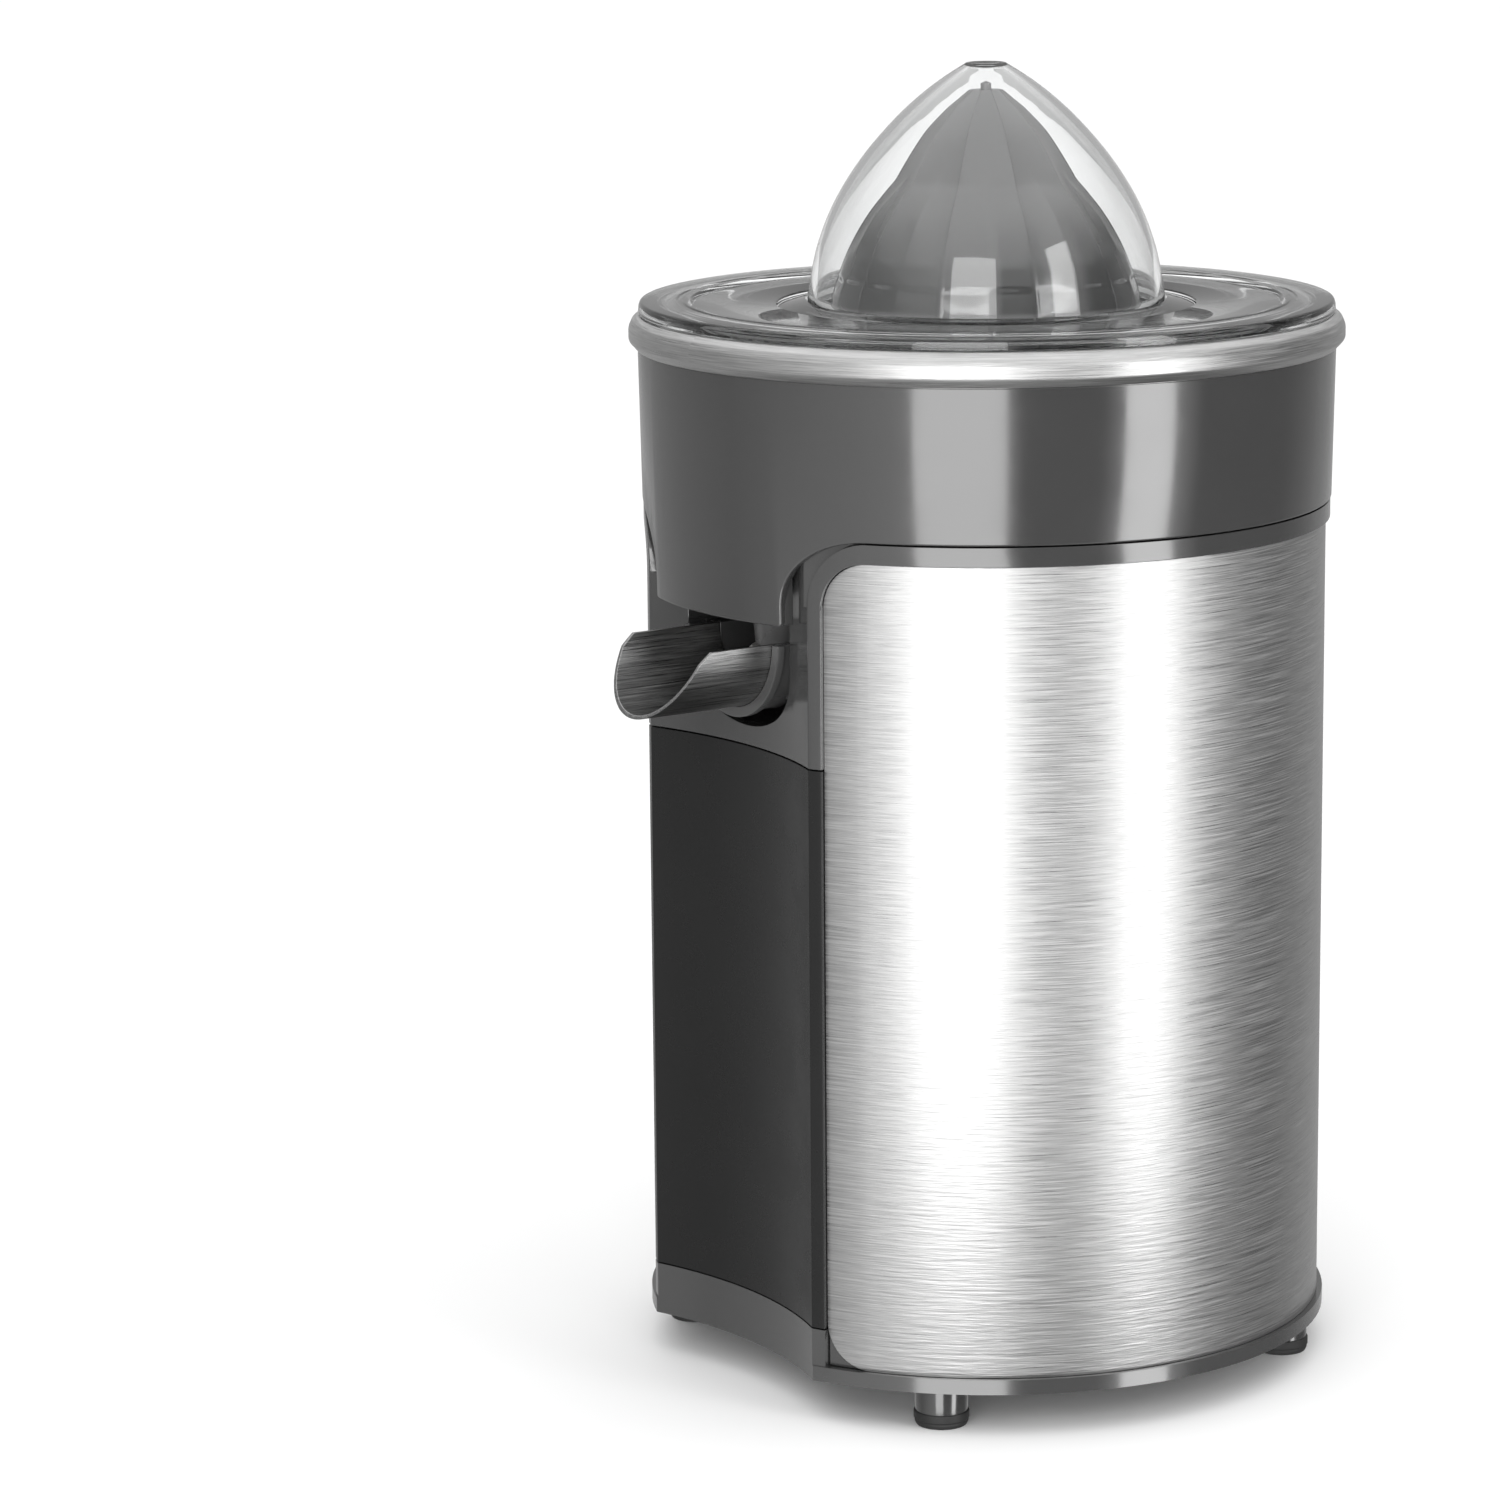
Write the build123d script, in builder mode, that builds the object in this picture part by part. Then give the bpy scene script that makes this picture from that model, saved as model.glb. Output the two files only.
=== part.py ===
"""Citrus press juicer: a cone pressed by hand turns over a strainer, and the juice leaves by a steel spout.

Millimetres, +Z up, the front (spout) towards -Y. The origin is on the surface that the feet stand on, in the
middle of the footprint, so the spindle stands a little behind it.
"""

from math import acos, cos, degrees, pi, radians, sin, sqrt, tan
import os

from build123d import *

os.makedirs("parts", exist_ok=True)

# ---- driving dimensions ----
SPINDLE_Y = 8.1          # the spindle axis, behind the middle of the footprint
WALL = 2.2               # moulded walls
GAP = 0.3                # between pieces that move apart
SEAM = 0.3               # between covers that are screwed together

# heights above the floor
FOOT_TIP_Z = 3.4
BASE_Z = 9.5
RING_TOP_Z = 12.9
LOWER_SEAM_Z = 21.4
UPPER_SEAM_Z = 148.8
STEEL_TOP_Z = 195.1
FRAME_TOP_Z = 199.5
BOWL_FLOOR_Z = 203.0
BIB_Z = 179.8
BAND_Z = 234.2
BAND_TOP_Z = 241.8
COVER_Z = 242.1
COVER_TOP_Z = 244.8
DOME_TOP_Z = 297.9

# radii about the spindle
STEEL_R = 77.5
STEEL_THICK = 0.6
FRAME_R = 78.5
RING_R = 78.8
BOWL_R_LOW = 78.7
BOWL_R_TOP = 79.4
BAND_R = 81.45
COVER_R = 79.2
DOME_R = 40.8
CONE_R = 35.3

# hollow front panel: its nearest point to the spindle, and the radius of its arc
PANEL_S = 66.9
PANEL_R = 99.0
STEEL_EDGE_DEG = 26.0    # from the front line to the steel's edge
STEEL_CORNER_R = 10.5
FRAME_CORNER_R = 15.0
STRIP_DEG = 23.3         # the frame's strip beside the steel starts here
STRIP_DEPTH = 2.3
CUT_LEAD = 0.06          # a corner's arc runs this far past both edges, so that it crosses them
BIB_HALF_DEG = 18.3

# spout
TROUGH_Z = 174.3         # centre of the half pipe, level with its top edges
TROUGH_R = 16.0
TROUGH_THICK = 0.9
TROUGH_TOP_S = 89.8      # where the slanted front cut starts, ahead of the spindle
TROUGH_TIP_S = 97.6
COLLAR_R = 18.5
OPENING_HALF = 20.0
OPENING_BOTTOM_Z = 153.4
OPENING_ROUND = 14.0     # height of the rounded bottom of the opening
BAY_BACK_S = 45.0
PIVOT_S = 50.0
PIVOT_Z = 163.0
PIVOT_R = 2.0
NOZZLE_S = 57.0
NOZZLE_R = 6.5
NOZZLE_Z = 171.0

# drive
SHAFT_R = 4.0
FIRST_MODULE = 0.7
SECOND_MODULE = 0.8
MOTOR_PINION_TEETH = 15
IDLER_TEETH = 60
IDLER_PINION_TEETH = 16
OUTPUT_TEETH = 80
GEARBOX_Z = 152.0
GEARBOX_TOP_Z = 186.5
DECK_Z = 190.0
MOTOR_DEG = 50.0         # direction from the idler to the motor, from straight ahead towards -X

idler_y = SECOND_MODULE * (IDLER_PINION_TEETH + OUTPUT_TEETH) / 2
first_reach = FIRST_MODULE * (MOTOR_PINION_TEETH + IDLER_TEETH) / 2
motor_x = -first_reach * sin(radians(MOTOR_DEG))
motor_y = idler_y - first_reach * cos(radians(MOTOR_DEG))

SPINDLE = Axis((0, SPINDLE_Y, 0), (0, 0, 1))
UPRIGHT = Plane(origin=(0, SPINDLE_Y, 0), x_dir=(1, 0, 0), z_dir=(0, -1, 0))
SIDEWAYS = Plane(origin=(0, SPINDLE_Y, 0), x_dir=(0, -1, 0), z_dir=(-1, 0, 0))


def level(height):
    """Horizontal plane at a height, with its origin on the spindle axis."""
    return Plane(origin=(0, SPINDLE_Y, height), x_dir=(1, 0, 0), z_dir=(0, 0, 1))


def facing(angle, radius):
    """Upright plane facing outwards, at an angle from the front towards +X; its x runs away from the front."""
    out = Vector(sin(radians(angle)), -cos(radians(angle)), 0)
    away = Vector(cos(radians(angle)), sin(radians(angle)), 0)
    middle = Vector(0, SPINDLE_Y, 0) + out * radius
    return Plane(origin=middle, x_dir=away, z_dir=away.cross(Vector(0, 0, 1)))


def front_wedge(half_deg, mode=Mode.ADD):
    """Triangle that covers everything within an angle of the front line."""
    far = 130
    wide = far * tan(radians(half_deg))
    Polygon((0, 0), (-wide, -far), (wide, -far), align=None, mode=mode)


def footprint(radius, inset=0):
    """Plan of the body: a circle whose front is hollowed by the panel's arc, all moved in by inset."""
    Circle(radius - inset)
    with Locations((0, -(PANEL_S + PANEL_R))):
        Circle(PANEL_R + inset, mode=Mode.SUBTRACT)


def slab(low, high, radius, inset=0, mode=Mode.ADD):
    """The footprint between two heights."""
    with BuildSketch(level(low)) as plan:
        footprint(radius, inset)
    extrude(plan.sketch, amount=high - low, mode=mode)


def tube(low, high, outer, inner=0, at=(0, 0), mode=Mode.ADD):
    """Upright tube or rod, at one place or several, measured from the spindle axis."""
    with BuildSketch(level(low)) as plan:
        with Locations(at):
            Circle(outer)
            if inner:
                Circle(inner, mode=Mode.SUBTRACT)
    extrude(plan.sketch, amount=high - low, mode=mode)


def block(low, high, width, depth, at=(0, 0), mode=Mode.ADD):
    """Upright block, placed from the spindle axis by its middle."""
    with BuildSketch(level(low)) as plan:
        with Locations(at):
            Rectangle(width, depth)
    extrude(plan.sketch, amount=high - low, mode=mode)


def around(radius, angles):
    """Points on a circle, each at an angle from the front towards +X."""
    return [(radius * sin(radians(a)), -radius * cos(radians(a))) for a in angles]


# ---- feet ----
FOOT_R = 6.0
foot_places = around(70, (45, 132, -132, -45))

with BuildPart() as feet:
    tube(FOOT_TIP_Z, BASE_Z, FOOT_R, at=foot_places)
    tube(FOOT_TIP_Z - 1.6, FOOT_TIP_Z, 2.9, at=foot_places)
    tube(BASE_Z, BASE_Z + 2.4, 2.4, at=foot_places)

with BuildPart() as rubber_tips:
    tube(0, FOOT_TIP_Z, FOOT_R + 0.25, at=foot_places)
    chamfer(rubber_tips.edges().group_by(Axis.Z)[0], 0.5)
    tube(FOOT_TIP_Z - 1.8, FOOT_TIP_Z, 3.0, at=foot_places, mode=Mode.SUBTRACT)

# ---- base housing: floor plate, outer ring and the low front step ----
FLOOR_PLATE = 2.4
CORD_HOLE_R = 5.0
cord_place = (0, 58)
base_screw_places = around(68, (64, 150, -150, -64))

with BuildPart() as base_housing:
    slab(BASE_Z, RING_TOP_Z, RING_R)
    with BuildSketch(level(RING_TOP_Z)):
        footprint(FRAME_R)
        front_wedge(STEEL_EDGE_DEG, mode=Mode.INTERSECT)
    extrude(amount=LOWER_SEAM_Z - RING_TOP_Z)
    slab(BASE_Z + FLOOR_PLATE, LOWER_SEAM_Z, FRAME_R, inset=WALL + 2, mode=Mode.SUBTRACT)
    tube(BASE_Z, BASE_Z + FLOOR_PLATE, 2.5, at=foot_places, mode=Mode.SUBTRACT)
    tube(BASE_Z, BASE_Z + FLOOR_PLATE, 1.9, at=base_screw_places, mode=Mode.SUBTRACT)
    tube(BASE_Z, BASE_Z + FLOOR_PLATE, CORD_HOLE_R, at=cord_place, mode=Mode.SUBTRACT)
    with BuildSketch(level(BASE_Z)):
        with GridLocations(7, 0, 7, 1):
            SlotOverall(40, 3, rotation=90)
    extrude(amount=FLOOR_PLATE, mode=Mode.SUBTRACT)

with BuildPart() as cord_gland:
    tube(BASE_Z - 2, BASE_Z, CORD_HOLE_R + 2, at=cord_place)
    tube(BASE_Z, BASE_Z + 8, CORD_HOLE_R - 0.1, at=cord_place)
    tube(BASE_Z - 2, BASE_Z + 8, 3.3, at=cord_place, mode=Mode.SUBTRACT)

with BuildPart() as base_screws:
    tube(BASE_Z - 2.2, BASE_Z, 3.4, at=base_screw_places)
    tube(BASE_Z, BASE_Z + 16, 1.6, at=base_screw_places)
    with BuildSketch(level(BASE_Z - 2.2)):
        with Locations(base_screw_places):
            Rectangle(4.4, 0.9)
            Rectangle(0.9, 4.4)
    extrude(amount=1.2, mode=Mode.SUBTRACT)

with BuildPart() as terminal_block:
    block(BASE_Z + FLOOR_PLATE, BASE_Z + 16, 30, 12, at=(0, 38))
    with BuildSketch(level(BASE_Z + 16)):
        with Locations((0, 38)):
            with GridLocations(9, 0, 3, 1):
                Circle(2.2)
    extrude(amount=-8, mode=Mode.SUBTRACT)


# ---- steel wrap: one bent sheet round the sides and the back ----
def open_ring(low, high, outer, inner, half_deg=STEEL_EDGE_DEG):
    """Ring that leaves the front open between two edges."""
    with BuildSketch(level(low)) as plan:
        Circle(outer)
        Circle(inner, mode=Mode.SUBTRACT)
        front_wedge(half_deg, mode=Mode.SUBTRACT)
    extrude(plan.sketch, amount=high - low)


def cut_corners(radius, height, way, first_deg, corner_r, inner=30, outer=8):
    """Round off both front ends of a ring at a height; way is -1 at an upper corner and 1 at a lower one."""
    half_turn = degrees(corner_r / radius) / 2
    edge_x = radius * sin(radians(half_turn))
    for side in (1, -1):
        with BuildSketch(facing(side * (first_deg + half_turn), radius - inner)) as spare:
            with Locations((-side * (edge_x + CUT_LEAD), height - way * CUT_LEAD)):
                Rectangle(2 * corner_r, 2 * corner_r)
            with Locations((side * (corner_r - edge_x - CUT_LEAD), height + way * (corner_r - CUT_LEAD))):
                Circle(corner_r, mode=Mode.SUBTRACT)
        extrude(spare.sketch, amount=inner + outer, mode=Mode.SUBTRACT)


with BuildPart() as steel_wrap:
    open_ring(RING_TOP_Z, STEEL_TOP_Z, STEEL_R, STEEL_R - STEEL_THICK)
    cut_corners(STEEL_R, STEEL_TOP_Z, -1, STEEL_EDGE_DEG, STEEL_CORNER_R)
    cut_corners(STEEL_R, RING_TOP_Z, 1, STEEL_EDGE_DEG, STEEL_CORNER_R)

with BuildPart() as steel_room:
    open_ring(RING_TOP_Z - 1, STEEL_TOP_Z, FRAME_R + 2, STEEL_R - STEEL_THICK - 0.05)
    cut_corners(STEEL_R, STEEL_TOP_Z, -1, STEEL_EDGE_DEG, STEEL_CORNER_R)

# ---- main housing: wall behind the steel, top frame, upper front with the spout opening, spout bay ----
INNER_R = STEEL_R - STEEL_THICK - 0.1
SHELL_R = INNER_R - WALL


def spout_opening(depth):
    """Cut the opening, rounded at its bottom and open at its top, from the front back to a depth."""
    ahead = Plane(origin=(0, SPINDLE_Y - PANEL_S - 8, 0), x_dir=(1, 0, 0), z_dir=(0, -1, 0))
    with BuildSketch(ahead) as outline:
        with Locations((0, OPENING_BOTTOM_Z + OPENING_ROUND)):
            Ellipse(OPENING_HALF, OPENING_ROUND)
            Rectangle(2 * OPENING_HALF, 60, align=(Align.CENTER, Align.MIN))
    extrude(outline.sketch, amount=-depth, mode=Mode.SUBTRACT)


def hollow(low, high, radius, mode=Mode.SUBTRACT):
    """Inside of the housing between two heights, one wall behind the front panel."""
    with BuildSketch(level(low)) as plan:
        Circle(radius)
        with Locations((0, -(PANEL_S + PANEL_R))):
            Circle(PANEL_R + WALL, mode=Mode.SUBTRACT)
    extrude(plan.sketch, amount=high - low, mode=mode)


with BuildPart() as main_housing:
    slab(RING_TOP_Z + 0.1, FRAME_TOP_Z, FRAME_R)
    hollow(RING_TOP_Z, FRAME_TOP_Z, SHELL_R)
    with BuildSketch(level(DECK_Z - 3)):
        Circle(SHELL_R + 0.5)
        Circle(SHELL_R - 4, mode=Mode.SUBTRACT)
        front_wedge(50, mode=Mode.SUBTRACT)
    extrude(amount=3)
    tube(RING_TOP_Z + 0.1, 40, 4.2, at=around(71, (64, 150, -150, -64)))
    with BuildSketch(level(RING_TOP_Z)):
        front_wedge(STEEL_EDGE_DEG + 0.1)
    extrude(amount=UPPER_SEAM_Z + SEAM / 2 - RING_TOP_Z, mode=Mode.SUBTRACT)
    add(steel_room.part, mode=Mode.SUBTRACT)
    # outer top corners of the frame, beside the bowl's bib
    cut_corners(FRAME_R, FRAME_TOP_Z, -1, STRIP_DEG, FRAME_CORNER_R, inner=STRIP_DEPTH)
    # bay behind the spout opening
    block(OPENING_BOTTOM_Z - WALL, FRAME_TOP_Z - 3, 2 * (OPENING_HALF + WALL), 28,
          at=(0, -BAY_BACK_S - 14 + WALL))
    tube(OPENING_BOTTOM_Z - 5, FRAME_TOP_Z, PANEL_R, at=(0, -PANEL_S - PANEL_R), mode=Mode.SUBTRACT)
    block(OPENING_BOTTOM_Z, FRAME_TOP_Z, 2 * OPENING_HALF, 19, at=(0, -BAY_BACK_S - 9.5), mode=Mode.SUBTRACT)
    spout_opening(22)
    tube(BASE_Z, 30, 1.6, at=base_screw_places, mode=Mode.SUBTRACT)
    for side in (1, -1):
        with BuildSketch(SIDEWAYS):
            with Locations((PIVOT_S, PIVOT_Z)):
                Circle(PIVOT_R + 0.08)
        extrude(amount=-side * 30, mode=Mode.SUBTRACT)

# ---- front cover: closes the hollow front between the two seams ----
with BuildPart() as front_cover:
    with BuildSketch(level(LOWER_SEAM_Z + SEAM)):
        footprint(FRAME_R)
        front_wedge(STEEL_EDGE_DEG - 0.05, mode=Mode.INTERSECT)
    extrude(amount=UPPER_SEAM_Z - SEAM / 2 - LOWER_SEAM_Z - SEAM)
    hollow(LOWER_SEAM_Z, UPPER_SEAM_Z, SHELL_R + WALL)

# ---- deck above the drive, with the tube that carries the shaft's upper bush ----
DECK_PLATE = 2.5
deck_bosses = around(30, (90, 200, -90))
TOWER_TOP_Z = 221.0

with BuildPart() as deck:
    tube(DECK_Z, DECK_Z + DECK_PLATE, SHELL_R - 0.2)
    block(DECK_Z, DECK_Z + DECK_PLATE, 2 * (OPENING_HALF + WALL + 0.3), 60,
          at=(0, -BAY_BACK_S + WALL + 0.3 - 30), mode=Mode.SUBTRACT)
    with BuildSketch(level(DECK_Z)):
        with Locations((0, -PANEL_S - PANEL_R)):
            Circle(PANEL_R + WALL + 0.3)
    extrude(amount=DECK_PLATE, mode=Mode.SUBTRACT)
    tube(DECK_Z, TOWER_TOP_Z, 7)
    tube(GEARBOX_TOP_Z, DECK_Z, 4, at=deck_bosses)
    tube(DECK_Z, TOWER_TOP_Z, 5.3, mode=Mode.SUBTRACT)
    tube(GEARBOX_TOP_Z, DECK_Z + 1, 1.3, at=deck_bosses, mode=Mode.SUBTRACT)

with BuildPart() as upper_bush:
    tube(DECK_Z, TOWER_TOP_Z - 3, 5.3, SHAFT_R + 0.05)

with BuildPart() as shaft_seal:
    with BuildSketch(UPRIGHT):
        with BuildLine():
            Polyline((SHAFT_R + 0.4, TOWER_TOP_Z - 2.6), (5.3, TOWER_TOP_Z - 2.6), (5.3, TOWER_TOP_Z),
                     (7.2, TOWER_TOP_Z), (7.2, TOWER_TOP_Z + 1.2), (SHAFT_R + 0.4, TOWER_TOP_Z + 1.2),
                     close=True)
        make_face()
    revolve(axis=SPINDLE)

# ---- gearbox ----
GEAR_WALL = 2.0
gear_wells = (((0, 0), 35.5), ((0, idler_y), 24.0), ((motor_x, motor_y), 10.0))
idler_place = (0, idler_y)
motor_place = (motor_x, motor_y)


def gearbox_plan(spare):
    """Outline drawn tightly round the three wells, grown by a margin."""
    for place, radius in gear_wells:
        with Locations(place):
            Circle(radius + spare)
    make_hull()


with BuildPart() as gearbox_housing:
    with BuildSketch(level(GEARBOX_Z)):
        gearbox_plan(GEAR_WALL)
    extrude(amount=GEARBOX_TOP_Z - 2.5 - GEARBOX_Z)
    with BuildSketch(level(GEARBOX_Z + 3)):
        gearbox_plan(0)
    extrude(amount=GEARBOX_TOP_Z, mode=Mode.SUBTRACT)
    tube(GEARBOX_Z - 4, GEARBOX_Z + 3, 8)
    tube(GEARBOX_Z - 4, GEARBOX_Z + 4, SHAFT_R + 1.5, mode=Mode.SUBTRACT)
    tube(GEARBOX_Z + 3, GEARBOX_Z + 4, 5, at=idler_place)
    tube(GEARBOX_Z, GEARBOX_Z + 4, 2.0, at=idler_place, mode=Mode.SUBTRACT)
    tube(GEARBOX_Z, GEARBOX_Z + 4, 4.0, at=motor_place, mode=Mode.SUBTRACT)

with BuildPart() as gearbox_cover:
    with BuildSketch(level(GEARBOX_TOP_Z - 2.5)):
        gearbox_plan(GEAR_WALL)
    extrude(amount=2.5)
    tube(GEARBOX_TOP_Z - 5, GEARBOX_TOP_Z - 2.5, 5, at=idler_place)
    tube(GEARBOX_TOP_Z - 5, GEARBOX_TOP_Z - 1, 2.0, at=idler_place, mode=Mode.SUBTRACT)
    tube(GEARBOX_TOP_Z - 2.5, GEARBOX_TOP_Z, 6.5, mode=Mode.SUBTRACT)
    tube(GEARBOX_TOP_Z - 3, GEARBOX_TOP_Z, 1.7, at=deck_bosses, mode=Mode.SUBTRACT)

with BuildPart() as lower_bush:
    tube(GEARBOX_Z - 4, GEARBOX_Z + 3, SHAFT_R + 1.5, SHAFT_R + 0.05)

with BuildPart() as gearbox_screws:
    tube(GEARBOX_TOP_Z - 4.3, GEARBOX_TOP_Z - 2.6, 2.8, at=deck_bosses)
    tube(GEARBOX_TOP_Z - 2.6, DECK_Z - 0.5, 1.25, at=deck_bosses)

with BuildPart() as idler_pin:
    tube(GEARBOX_Z + 0.1, GEARBOX_TOP_Z - 1.1, 1.95, at=idler_place)


def gear_plan(teeth, module, tooth_at, play=0.2):
    """Outline of a spur gear with involute flanks and one tooth centred at an angle in degrees from +X."""
    pitch = module * teeth / 2
    base = pitch * cos(radians(20))
    root = pitch - 1.2 * module
    tip = pitch + 0.8 * module
    at_pitch = tan(radians(20)) - radians(20)
    half = pi / (2 * teeth) - play / (2 * pitch) + at_pitch
    points = []
    for tooth in range(teeth):
        middle = radians(tooth_at) + 2 * pi * tooth / teeth
        flank = [(root, half)]
        for step in range(4):
            radius = max(base, root) + (tip - max(base, root)) * step / 3
            turn = sqrt((radius / base) ** 2 - 1)
            flank.append((radius, half - (turn - acos(base / radius))))
        for radius, angle in flank:
            points.append((radius * cos(middle - angle), radius * sin(middle - angle)))
        for radius, angle in reversed(flank):
            points.append((radius * cos(middle + angle), radius * sin(middle + angle)))
    Polyline(*points, close=True)


def gear(low, high, place, teeth, module, tooth_at):
    """Spur gear, standing at a place measured from the spindle axis."""
    with BuildSketch(level(low).shift_origin(level(low).from_local_coords(Vector(*place, 0)))) as plan:
        with BuildLine():
            gear_plan(teeth, module, tooth_at)
        make_face()
    extrude(plan.sketch, amount=high - low)


FIRST_LOW_Z = 157.0
FIRST_HIGH_Z = 163.0
SECOND_LOW_Z = 167.0
SECOND_HIGH_Z = 175.0
HEX_FLATS = 8.0
to_motor_deg = 270 - MOTOR_DEG

with BuildPart() as output_gear:
    gear(SECOND_LOW_Z, SECOND_HIGH_Z, (0, 0), OUTPUT_TEETH, SECOND_MODULE, 90)
    tube(SECOND_HIGH_Z, GEARBOX_TOP_Z - 3, 9)
    tube(GEARBOX_Z + 6, SECOND_LOW_Z, 9)
    with BuildSketch(level(SECOND_LOW_Z)):
        Circle(27)
        Circle(12, mode=Mode.SUBTRACT)
    extrude(amount=2.5, mode=Mode.SUBTRACT)
    with BuildSketch(level(GEARBOX_Z)):
        RegularPolygon(HEX_FLATS / 2 + GAP, 6, major_radius=False)
    extrude(amount=40, mode=Mode.SUBTRACT)

with BuildPart() as idler_gear:
    gear(FIRST_LOW_Z, FIRST_HIGH_Z, idler_place, IDLER_TEETH, FIRST_MODULE, to_motor_deg)
    gear(FIRST_HIGH_Z, SECOND_HIGH_Z + 1, idler_place, IDLER_PINION_TEETH, SECOND_MODULE,
         270 + 180 / IDLER_PINION_TEETH)
    tube(GEARBOX_Z + 4.3, GEARBOX_TOP_Z - 5.3, 3.4, at=idler_place)
    tube(GEARBOX_Z, GEARBOX_TOP_Z, 2.0, at=idler_place, mode=Mode.SUBTRACT)

# ---- drive shaft, and the carriage that lets it be pressed down onto the switch ----
SHAFT_LOW_Z = 147.0
SHAFT_TOP_Z = 262.0
DRIVE_Z = 229.0

with BuildPart() as drive_shaft:
    tube(SHAFT_LOW_Z, DRIVE_Z, SHAFT_R)
    with BuildSketch(level(DRIVE_Z)):
        RegularPolygon(3.45, 6, major_radius=False)
    extrude(amount=SHAFT_TOP_Z - DRIVE_Z)
    with BuildSketch(level(GEARBOX_Z + 8)):
        RegularPolygon(HEX_FLATS / 2, 6, major_radius=False)
    extrude(amount=22)
    chamfer(drive_shaft.edges().group_by(Axis.Z)[-1], 0.8)

SPRING_LOW_Z = 126.0
SPRING_TOP_Z = 141.5

with BuildPart() as press_carriage:
    tube(SPRING_TOP_Z, SHAFT_LOW_Z - GAP, 9)
    tube(SPRING_LOW_Z - 2, SPRING_TOP_Z, 2.5)
    block(SPRING_TOP_Z, SPRING_TOP_Z + 2.5, 18, 7, at=(15, 0))

with BuildPart() as return_spring:
    spring_turns = 5
    pitch = (SPRING_TOP_Z - SPRING_LOW_Z - 1.6) / spring_turns
    with BuildLine(Plane.XY):
        coil = Helix(pitch=pitch, height=pitch * spring_turns, radius=5.5,
                     center=(0, SPINDLE_Y, SPRING_LOW_Z + 0.8))
    with BuildSketch(Plane(origin=coil @ 0, z_dir=coil % 0)):
        Circle(0.6)
    sweep()

with BuildPart() as spring_bracket:
    block(SPRING_LOW_Z - 2.5, SPRING_LOW_Z - 0.1, 28, 20)
    for side in (1, -1):
        block(SPRING_LOW_Z - 2.5, GEARBOX_Z, 28, 2.4, at=(0, side * 11.2))
    tube(SPRING_LOW_Z - 3, SPRING_LOW_Z, 2.9, mode=Mode.SUBTRACT)

SWITCH_X = 20.5
SWITCH_Z = 126.0
SWITCH_TOP_Z = 136.0

with BuildPart() as microswitch:
    block(SWITCH_Z, SWITCH_TOP_Z, 20, 7, at=(24.3, 0))
    tube(SWITCH_Z - 4, SWITCH_Z, 0.9, at=((17.3, 0), (24.3, 0), (31.3, 0)))
    tube(SWITCH_TOP_Z - 3, SWITCH_TOP_Z, 1.7, at=(SWITCH_X, 0), mode=Mode.SUBTRACT)

with BuildPart() as switch_plunger:
    tube(SWITCH_TOP_Z - 0.2, SPRING_TOP_Z - GAP, 1.4, at=(SWITCH_X, 0))

# ---- motor: shaded pole, hung under the gearbox on two studs ----
ALONG = Vector(cos(radians(-40)), sin(radians(-40)), 0)
ACROSS = Vector(-ALONG.Y, ALONG.X, 0)
CORE_LOW_Z = 80.0
CORE_HIGH_Z = 104.0
MOTOR_SHAFT_R = 2.5
STUD_REACH = 18.0
motor_middle = Vector(motor_x, motor_y + SPINDLE_Y, 0)
stud_places = [(motor_x + reach * ACROSS.X, motor_y + reach * ACROSS.Y) for reach in (STUD_REACH, -STUD_REACH)]


def motor_level(height):
    """Horizontal plane on the motor's axis, its x along the stack."""
    return Plane(origin=motor_middle + Vector(0, 0, height), x_dir=ALONG, z_dir=(0, 0, 1))


with BuildPart() as motor_core:
    with BuildSketch(motor_level(CORE_LOW_Z)):
        with Locations((12, 0)):
            RectangleRounded(62, 44, 3)
        Circle(14, mode=Mode.SUBTRACT)
        with Locations((28, 11.5), (28, -11.5)):
            Rectangle(12, 7, mode=Mode.SUBTRACT)
        with Locations((0, STUD_REACH), (0, -STUD_REACH)):
            Circle(1.9, mode=Mode.SUBTRACT)
    extrude(amount=CORE_HIGH_Z - CORE_LOW_Z)

with BuildPart() as motor_coil:
    with BuildSketch(Plane(origin=motor_middle + ALONG * 22.5 + Vector(0, 0, (CORE_LOW_Z + CORE_HIGH_Z) / 2),
                           x_dir=ACROSS, z_dir=ALONG)):
        RectangleRounded(29, 34, 3)
        Rectangle(16.4, CORE_HIGH_Z - CORE_LOW_Z + 0.4, mode=Mode.SUBTRACT)
    extrude(amount=11)


def motor_bracket(way, face):
    """Pressed cup that closes one end of the core and holds a bush; way is 1 above the core and -1 below."""
    ends = sorted((face, face + way * 6))
    tube(ends[0], ends[1], 17, 15, at=motor_place)
    with BuildSketch(level(face + way * 6)) as cup:
        with Locations(motor_place):
            Circle(17)
            Circle(4.5, mode=Mode.SUBTRACT)
    extrude(cup.sketch, amount=way * 2)
    with BuildSketch(level(face + way * 6)) as hub:
        with Locations(motor_place):
            Circle(6.5)
            Circle(4.5, mode=Mode.SUBTRACT)
    extrude(hub.sketch, amount=way * 7)
    with BuildSketch(motor_level(face)) as tabs:
        with Locations((0, STUD_REACH), (0, -STUD_REACH)):
            RectangleRounded(10, 7, 2)
        Circle(15, mode=Mode.SUBTRACT)
    extrude(tabs.sketch, amount=way * 2)
    tube(min(face, face + way * 2), max(face, face + way * 2), 1.9, at=stud_places, mode=Mode.SUBTRACT)
    tube(min(face + way * 2, face + way * 9), max(face + way * 2, face + way * 9), 3.4, at=stud_places,
         mode=Mode.SUBTRACT)


with BuildPart() as motor_upper_bracket:
    motor_bracket(1, CORE_HIGH_Z)

with BuildPart() as motor_lower_bracket:
    motor_bracket(-1, CORE_LOW_Z)

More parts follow.
